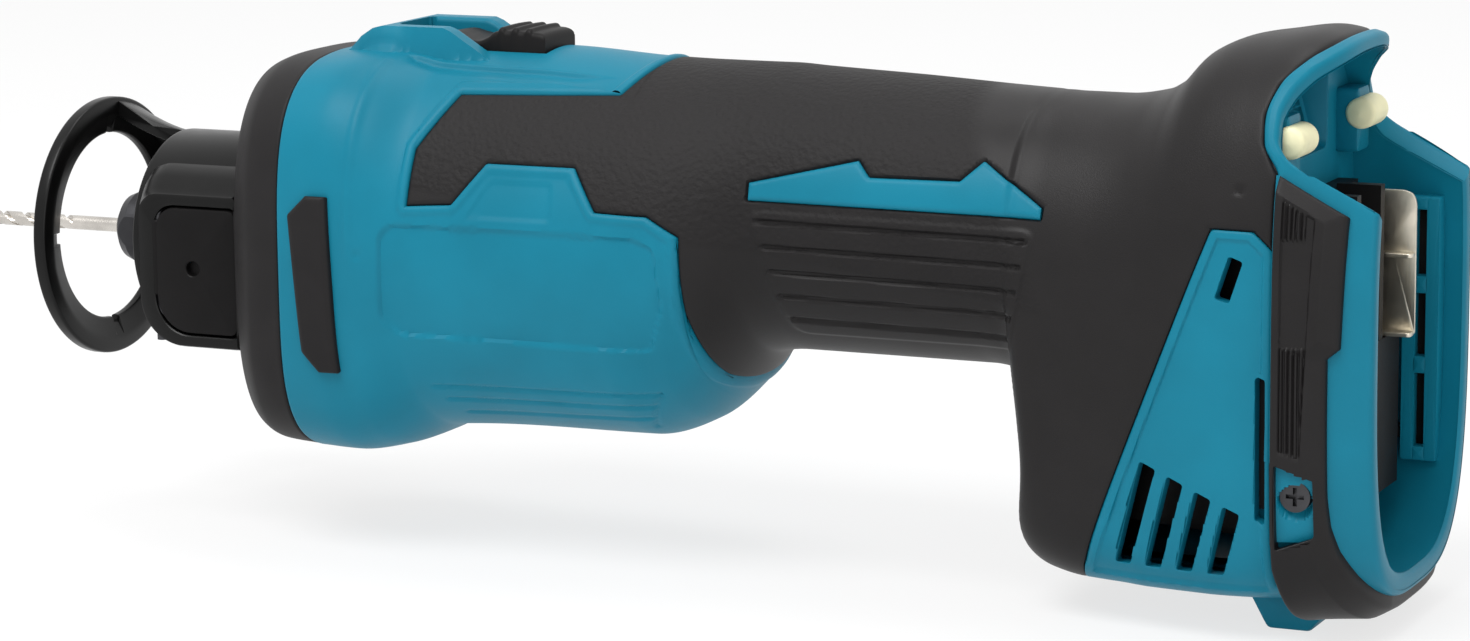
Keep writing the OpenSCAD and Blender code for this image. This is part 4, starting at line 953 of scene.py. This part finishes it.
def polar(outline, centre, count=120):
    """Points of a star-shaped outline at even angles about a centre."""
    p = np.asarray(outline, float) - centre
    t = np.linspace(0, 1, 16, endpoint=False)[None, :, None]
    dense = (p[:, None] * (1 - t) + np.roll(p, -1, axis=0)[:, None] * t).reshape(-1, 2)
    angle = np.arctan2(dense[:, 1], dense[:, 0])
    even = np.linspace(-math.pi, math.pi, count + 1)
    reach = np.interp(even, angle, np.linalg.norm(dense, axis=1), period=2 * math.pi)
    return centre + reach[:, None] * np.stack([np.cos(even), np.sin(even)], axis=1)


# Middle of the blind hole in the lever, and radius of the guide ring's bore
LEVER_HOLE = np.array([-29.8, -4.2])
RING_BORE = 20.7


def lever_outline(grow):
    """Outline of the lever, grown: quarter circles at its front corners, the lower one wide,
    and cut corners at the rear."""
    x0, x1, z0, z1 = -39.0 - grow, -19.0 + min(grow, 0.3), -18.5 - grow, 9.0 + grow
    corner = 8.0 + grow
    turn = np.linspace(0, QUARTER_TURN, 9)
    low = np.stack([x0 + corner - corner * np.cos(turn), z0 + corner - corner * np.sin(turn)], axis=1)
    high = np.stack([x0 + 5 - 5 * np.sin(turn), z1 - 5 + 5 * np.cos(turn)], axis=1)
    right = [(x1 - 1.4, z0), (x1 - 0.4, z0 + 0.4), (x1, z0 + 1.4),
             (x1, z1 - 1.4), (x1 - 0.4, z1 - 0.4), (x1 - 1.4, z1)]
    return np.vstack([low, right, high])


def stacked(stages, centre):
    """Loops about one centre, each an outline at a place across the tool; a first or last
    outline of None is the centre itself."""
    rows = []
    for outline, y in stages:
        loop = polar(outline, centre) if outline is not None else np.repeat(centre[None], 121, axis=0)
        rows.append(np.insert(loop, 1, y, axis=1))
    return np.stack(rows)


def guide_sheets():
    """Depth guide: ring with four notches in its bore, sleeve, arm that flares from the sleeve
    to the ring, and the boss with the lever's pocket."""
    angles = np.linspace(0, 2 * math.pi, 721)
    ring = rounded([(RING_BORE, -67.4), (28.7, -67.4), (28.7, -64.4), (25.5, -64.2), (RING_BORE, -65.4)], 0.7)
    ring = np.vstack([ring, ring[:1]])
    beside = np.abs((angles + math.pi / 4) % QUARTER_TURN - math.pi / 4) * RING_BORE
    notch = 1.2 * (beside < 1.2)
    inner = (ring[:, 0] < RING_BORE + 0.9)[:, None]
    sheets = [(turned(ring, angles, inner * notch[None, :]), True)]
    sleeve = rounded([(15.05, -46.1), (22.5, -46.1), (22.5, -18.6), (15.05, -18.6)], 1.2)
    sheets.append((turned(np.vstack([sleeve, sleeve[:1]]), angles[::6]), True))
    s = np.linspace(0, 1, 24)
    outer = np.stack([21.6 + 7.0 * (1 - s) ** 1.7, -66.0 + 23.0 * s], axis=1)
    under = outer[::-1] - np.array([3.6, 0])
    loop = np.vstack([outer, under, outer[:1]])
    arm = turned(loop, np.linspace(math.radians(4), math.radians(84), 60))
    middle = arm.mean(axis=0, keepdims=True)
    soft = np.array([0.0, 0.9, 0.97] + [1.0] * 54 + [0.97, 0.9, 0.0])[None, :, None]
    sheets.append((middle + (arm - middle) * soft, True))
    centre = LEVER_HOLE
    turn = np.linspace(0, QUARTER_TURN, 12)
    low = np.stack([-33.0 - 10.5 * np.cos(turn), -11.0 - 10.5 * np.sin(turn)], axis=1)
    high = np.stack([-38.5 - 5 * np.sin(turn), 7.0 + 5 * np.cos(turn)], axis=1)
    shape = np.vstack([low, [(-18.6, -21.5), (-18.6, 12.0)], high])
    wide = lambda grow: np.stack([
        np.minimum(shape[:, 0] - 0.3 * grow * (shape[:, 0] < -30), -18.6),
        shape[:, 1] + grow * (shape[:, 1] > 5)], axis=1)
    drawn = lambda share: centre + (shape - centre) * share
    pocket = lever_outline(0.45)
    stages = [(wide(6.0), 0.0), (wide(5.0), -17.0), (wide(3.0), -20.0), (wide(1.0), -22.2), (shape, -23.2),
              (drawn(0.985), -23.75), (drawn(0.955), -24.0), (lever_outline(0.7), -24.0), (pocket, -23.8),
              (pocket, -19.7), (None, -19.7)]
    sheets.append((stacked(stages, centre), False))
    return sheets


def lever_sheets():
    """Lock lever: a plate with rounded edges, a round hinge edge and a small blind hole."""
    centre = LEVER_HOLE
    shape = lever_outline(0.0)
    drawn = lambda share: centre + (shape - centre) * share
    turn = np.linspace(0, 2 * math.pi, 25)[:-1]
    hole = lambda r: centre + r * np.stack([np.cos(turn), np.sin(turn)], axis=1)
    stages = [(None, -20.0), (drawn(0.97), -20.0), (shape, -20.4), (shape, -23.4), (drawn(0.985), -23.8),
              (drawn(0.95), -24.0), (hole(1.9), -24.0), (hole(1.65), -23.8), (hole(1.6), -22.4),
              (None, -22.4)]
    loop = np.append(turn, turn[:1])
    rows = [np.stack([-39 + r * np.cos(loop), -22 + r * np.sin(loop), np.full(25, z)], axis=-1)
            for r, z in ((0, -10.5), (1.7, -10.5), (2, -10.2), (2, 5.7), (1.7, 6.0), (0, 6.0))]
    return [(stacked(stages, centre), False), (np.stack(rows), False)]


def blade_sheets():
    """Two contact blades: upright plates with a rounded corner, each with two bent tabs."""
    plate = [(216.1, -7.9), (230.0, -7.9), (230.0, 18.6), (229.4, 20.4), (227.6, 21.1), (216.1, 21.1)]
    sheets = []
    for y in (-15.4, 14.6):
        sheets.append((slab(rounded(plate, 0.8), 1, y, y + 0.8, 0.15), True))
        tab = rounded([(216.1, y - 3.0), (230.0, y - 3.0), (230.0, y + 0.1), (216.1, y + 0.1)], 0.9)
        for z in (-7.9, 8.0):
            sheets.append((slab(tab, 2, z, z + 0.8, 0.2), False))
    return sheets


# Spring under the lock button: turns, wire, radius, place of its ends and the button's travel
SPRING_TURNS, SPRING_WIRE, SPRING_RADIUS = 5, 0.8, 2.7
SPRING_FROM, SPRING_TO = 15.8, 28.9


def spring_sheets():
    """Coil spring under the lock button: a round wire, closed at its ends, on a helix across
    the tool."""
    along = np.concatenate([[0], np.linspace(0, 1, 181), [1]])[:, None]
    wire = SPRING_WIRE / 2 * np.concatenate([[0], np.ones(181), [0]])[:, None]
    round_wire = np.linspace(0, 2 * math.pi, 13)[None, :]
    turn = 2 * math.pi * SPRING_TURNS * along
    radius = SPRING_RADIUS + wire * np.cos(round_wire)
    y = SPRING_FROM + (SPRING_TO - SPRING_FROM) * along + wire * np.sin(round_wire)
    return [(np.stack([LOCK_X + radius * np.cos(turn), y, radius * np.sin(turn)], axis=-1), False)]


def buffer_pins():
    """Two rubber pins with rounded ends, turned about a line across the tool: the radius falls
    as the root of one less a high power of the place along the pin."""
    t = np.linspace(-1, 1, 41)[:, None]
    radius = 3.2 * (1 - np.abs(t) ** 14) ** 0.5
    turn = np.linspace(0, 2 * math.pi, 33)[None, :]
    sheets = []
    for side in (-1, 1):
        grid = np.stack([217 + radius * np.cos(turn), side * 23.5 + 5.5 * t + 0 * turn,
                         35.4 + radius * np.sin(turn)], axis=-1)
        sheets.append((grid, False))
    return sheets


# Settings

def colour(name, value, words):
    """A colour setting with its alpha."""
    return bpy.props.FloatVectorProperty(name=name, description=words, subtype="COLOR", size=4,
                                         min=0.0, max=1.0, default=value)


def number(name, value, words, **more):
    """A plain number setting."""
    return bpy.props.FloatProperty(name=name, description=words, default=value, **more)


def angle(name, degrees, words):
    """An angle setting."""
    return number(name, math.radians(degrees), words, subtype="ANGLE")


class CutoutLooks(bpy.types.PropertyGroup):
    """Colours of the tool's finishes."""
    blue: colour("Housing", (0.004, 0.168, 0.255, 1), "Moulded plastic of the housing")
    grip: colour("Grip", (0.0095, 0.0085, 0.0088, 1), "Soft elastomer of the grip and bumper")
    cover: colour("Cover", (0.01, 0.009, 0.0095, 1), "Plastic of the nose cover")
    gloss: colour("Guide", (0.003, 0.003, 0.003, 1), "Gloss black of the depth guide")
    lever: colour("Black parts", (0.0055, 0.005, 0.0052, 1), "Plastic of the lever and the knob")
    cream: colour("Buffers", (0.82, 0.78, 0.5, 1), "Cream rubber of the two buffers")
    steel: colour("Steel", (0.6, 0.6, 0.62, 1), "Ground steel of the spindle and sleeve")
    dark_steel: colour("Dark steel", (0.07, 0.07, 0.075, 1), "Blackened steel of the nut and screws")
    bit: colour("Bit", (0.58, 0.55, 0.51, 1), "Ground steel of the cutting bit")
    nickel: colour("Terminals", (0.66, 0.61, 0.51, 1), "Dull nickel of the terminal blades")
    copper: colour("Copper", (0.6, 0.26, 0.12, 1), "Enamelled wire of the windings")
    sheets: colour("Motor steel", (0.22, 0.22, 0.23, 1), "Stacked steel of the motor")


class CutoutStage(bpy.types.PropertyGroup):
    """Camera, floor and light of the picture."""
    azimuth: angle("Azimuth", 24.866, "Turn of the camera about the upright")
    elevation: angle("Elevation", 10.205, "Height of the camera as an angle")
    roll: angle("Roll", -0.629, "Turn of the picture")
    distance: number("Distance", 0.8957, "From the camera to its target", subtype="DISTANCE", unit="LENGTH")
    target: bpy.props.FloatVectorProperty(name="Target", description="Point that the camera looks at",
                                          subtype="TRANSLATION", size=3, default=(0.021, 0.0, 0.049715))
    focal: number("Focal length", 104.64, "Of the lens, in millimetres")
    floor: colour("Floor", (0.92, 0.92, 0.92, 1), "Plain pale floor")
    paper: number("Paper", 0.74, "Share of plain white in the floor as it is seen")
    ambient: number("Ambient", 0.55, "Strength of the light from all round")


# Operators

class CUTOUT_OT_housing(bpy.types.Operator):
    """Builds the two blue halves of the housing with the battery bay"""
    bl_idname = "cutout.housing"
    bl_label = "Housing"

    def execute(self, context):
        for side, name in ((-1, "left"), (1, "right")):
            sheets = shell_half(side) + rear_half(side) + trim_half(side) + patch_sheets(side)
            if side < 0:
                sheets.append(latch_pocket())
            piece("shell_" + name, sheets, finish("blue"), "housing", "housing_" + name)
        return {"FINISHED"}


class CUTOUT_OT_grip(bpy.types.Operator):
    """Builds the soft grip, the bumper, the nose cover and the collar pads"""
    bl_idname = "cutout.grip"
    bl_label = "Grip, cover and bumper"

    def execute(self, context):
        for side, name in ((-1, "left"), (1, "right")):
            piece("soft_grip_" + name, grip_half(side), finish("grip"), "housing",
                  "grip_" + name)
            piece("bumper_strip_" + name, bumper_half(side), finish("grip"), "housing",
                  "bumper_" + name)
        piece("nose_cover", cover_sheets(-1) + cover_sheets(1), finish("cover"), "housing",
              "front_cover")
        piece("collar_pads", pad_sheets(-1) + pad_sheets(1), finish("cover"), "housing",
              "front_pads")
        return {"FINISHED"}


class CUTOUT_OT_controls(bpy.types.Operator):
    """Builds the depth guide, its lever, the switch knob and the spring of the lock button"""
    bl_idname = "cutout.controls"
    bl_label = "Guide, lever, knob and spring"

    def execute(self, context):
        piece("guide_body", guide_sheets(), finish("gloss"), "guide", "depth_guide")
        piece("lever_plate", lever_sheets(), finish("lever"), "lever", "lock_lever")
        piece("slide_knob", knob_sheets(), finish("black"), "switch_slider", "switch_knob")
        spring = piece("button_spring", spring_sheets(), finish("steel"), "housing",
                       "lock_spring")
        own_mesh(spring)
        return {"FINISHED"}


class CUTOUT_OT_bay(bpy.types.Operator):
    """Builds the liners behind the vents, the contact blades and the buffers of the bay"""
    bl_idname = "cutout.bay"
    bl_label = "Liners, blades and buffers"

    def execute(self, context):
        piece("vent_liners", vent_liner(-1) + vent_liner(1), finish("black"), "housing")
        piece("contact_blades", blade_sheets(), finish("nickel"), "housing",
              "terminal_blades")
        piece("buffer_pins", buffer_pins(), finish("cream"), "housing", "buffers")
        return {"FINISHED"}


NODE_FINISH = {
    "black": ("switch_link", "switch_body", "controller", "terminal_block", "fan", "lock_button",
              "rear_bearing_seat"),
    "bit": ("cutting_bit",),
    "copper": ("stator_coils",), "sheets": ("stator_core", "rotor_core"),
    "dark": ("collet_nut", "housing_screws", "cover_screws", "lever_pin"),
    "steel": ("nose_sleeve", "front_bearing_outer", "rear_bearing_outer", "front_bearing_inner",
              "rear_bearing_inner", "front_balls", "rear_balls", "spindle", "collet"),
}


class CUTOUT_OT_finishes(bpy.types.Operator):
    """Gives the exact parts their finishes"""
    bl_idname = "cutout.finishes"
    bl_label = "Finishes of the exact parts"

    def execute(self, context):
        for name, nodes in NODE_FINISH.items():
            for node in nodes:
                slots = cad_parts[node].data.materials
                slots.clear()
                slots.append(finish(name))
        return {"FINISHED"}


def lamp(name, place, target, size, power):
    """Soft rectangular lamp that faces a point."""
    light = bpy.data.lights.new(name, "AREA")
    light.shape = "RECTANGLE"
    light.size, light.size_y = size
    light.energy = power
    thing = bpy.data.objects.new(name, light)
    thing.location = place
    aim = np.array(target) - np.array(place)
    yaw = math.atan2(aim[1], aim[0])
    pitch = math.atan2(aim[2], math.hypot(aim[0], aim[1]))
    thing.rotation_euler = (QUARTER_TURN + pitch, 0, yaw - QUARTER_TURN)
    bpy.context.scene.collection.objects.link(thing)


class CUTOUT_OT_stage(bpy.types.Operator):
    """Sets the camera, the floor, the lamps and the surroundings"""
    bl_idname = "cutout.stage"
    bl_label = "Stage"

    def execute(self, context):
        scene = context.scene
        stage = scene.cutout_stage
        lens = bpy.data.cameras.new("photo_camera")
        lens.lens = stage.focal
        lens.sensor_width = 36.0
        lens.clip_start = 0.05
        camera = bpy.data.objects.new("photo_camera", lens)
        scene.collection.objects.link(camera)
        level_share = math.cos(stage.elevation)
        away = np.array([math.sin(stage.azimuth) * level_share, -math.cos(stage.azimuth) * level_share,
                         math.sin(stage.elevation)])
        camera.location = np.array(stage.target) + stage.distance * away
        camera.rotation_mode = "XYZ"
        turn = (Matrix.Rotation(stage.azimuth, 4, "Z")
                @ Matrix.Rotation(QUARTER_TURN - stage.elevation, 4, "X")
                @ Matrix.Rotation(stage.roll, 4, "Z"))
        camera.rotation_euler = turn.to_euler("XYZ")
        scene.camera = camera
        floor = bpy.data.meshes.new("floor")
        wide, drop = 6.0, -0.001
        corners = [(-wide, -wide, drop), (wide, -wide, drop), (wide, wide, drop), (-wide, wide, drop)]
        floor.from_pydata(corners, [], [(0, 1, 2, 3)])
        ground = bpy.data.objects.new("floor", floor)
        scene.collection.objects.link(ground)
        paper = Finish("floor_paper")
        paper.set(Base_Color=tuple(stage.floor), Roughness=0.9)
        white = paper.node("ShaderNodeEmission", {}, {"Color": (1, 1, 1, 1), "Strength": 1.0})
        mixed = paper.node("ShaderNodeMixShader", {}, {
            0: stage.paper * paper.seen(), 1: Wire(paper, paper.shader.outputs[0]), 2: white})
        paper.feed(paper.tree.nodes["Material Output"].inputs[0], mixed)
        floor.materials.append(paper.owner)
        lamp("key", (-0.25, -1.0, 1.6), (0.0, 0.0, 0.05), (1.2, 0.9), 26.0)
        lamp("fill", (1.3, -1.3, 0.5), (0.05, 0.0, 0.05), (1.0, 1.0), 4.0)
        lamp("top", (0.2, 0.3, 1.5), (0.05, 0.0, 0.08), (1.2, 0.5), 7.0)
        sky = Finish("surroundings", "worlds", "Background")
        sky.set(Color=(1, 1, 1, 1), Strength=stage.ambient + (1 - stage.ambient) * sky.seen())
        scene.world = sky.owner
        scene.view_settings.view_transform = "Standard"
        return {"FINISHED"}


class CUTOUT_PT_panel(bpy.types.Panel):
    """Lists the tool's pieces"""
    bl_idname = "CUTOUT_PT_panel"
    bl_label = "Cut-out tool"
    bl_space_type = "VIEW_3D"
    bl_region_type = "UI"
    bl_category = "Cut-out tool"

    def draw(self, context):
        for operator in OPERATORS:
            self.layout.operator(operator.bl_idname)


OPERATORS = (CUTOUT_OT_housing, CUTOUT_OT_grip, CUTOUT_OT_controls, CUTOUT_OT_bay, CUTOUT_OT_finishes,
             CUTOUT_OT_stage)
CLASSES = (CutoutLooks, CutoutStage) + OPERATORS + (CUTOUT_PT_panel,)


def register():
    for kind in CLASSES:
        bpy.utils.register_class(kind)
    bpy.types.Scene.cutout_looks = bpy.props.PointerProperty(type=CutoutLooks)
    bpy.types.Scene.cutout_stage = bpy.props.PointerProperty(type=CutoutStage)


def unregister():
    del bpy.types.Scene.cutout_stage
    del bpy.types.Scene.cutout_looks
    for kind in reversed(CLASSES):
        bpy.utils.unregister_class(kind)


def main():
    """Builds every piece in order."""
    register()
    bpy.ops.cutout.housing()
    bpy.ops.cutout.grip()
    bpy.ops.cutout.controls()
    bpy.ops.cutout.bay()
    bpy.ops.cutout.finishes()
    bpy.ops.cutout.stage()


if __name__ == "__main__":
    main()
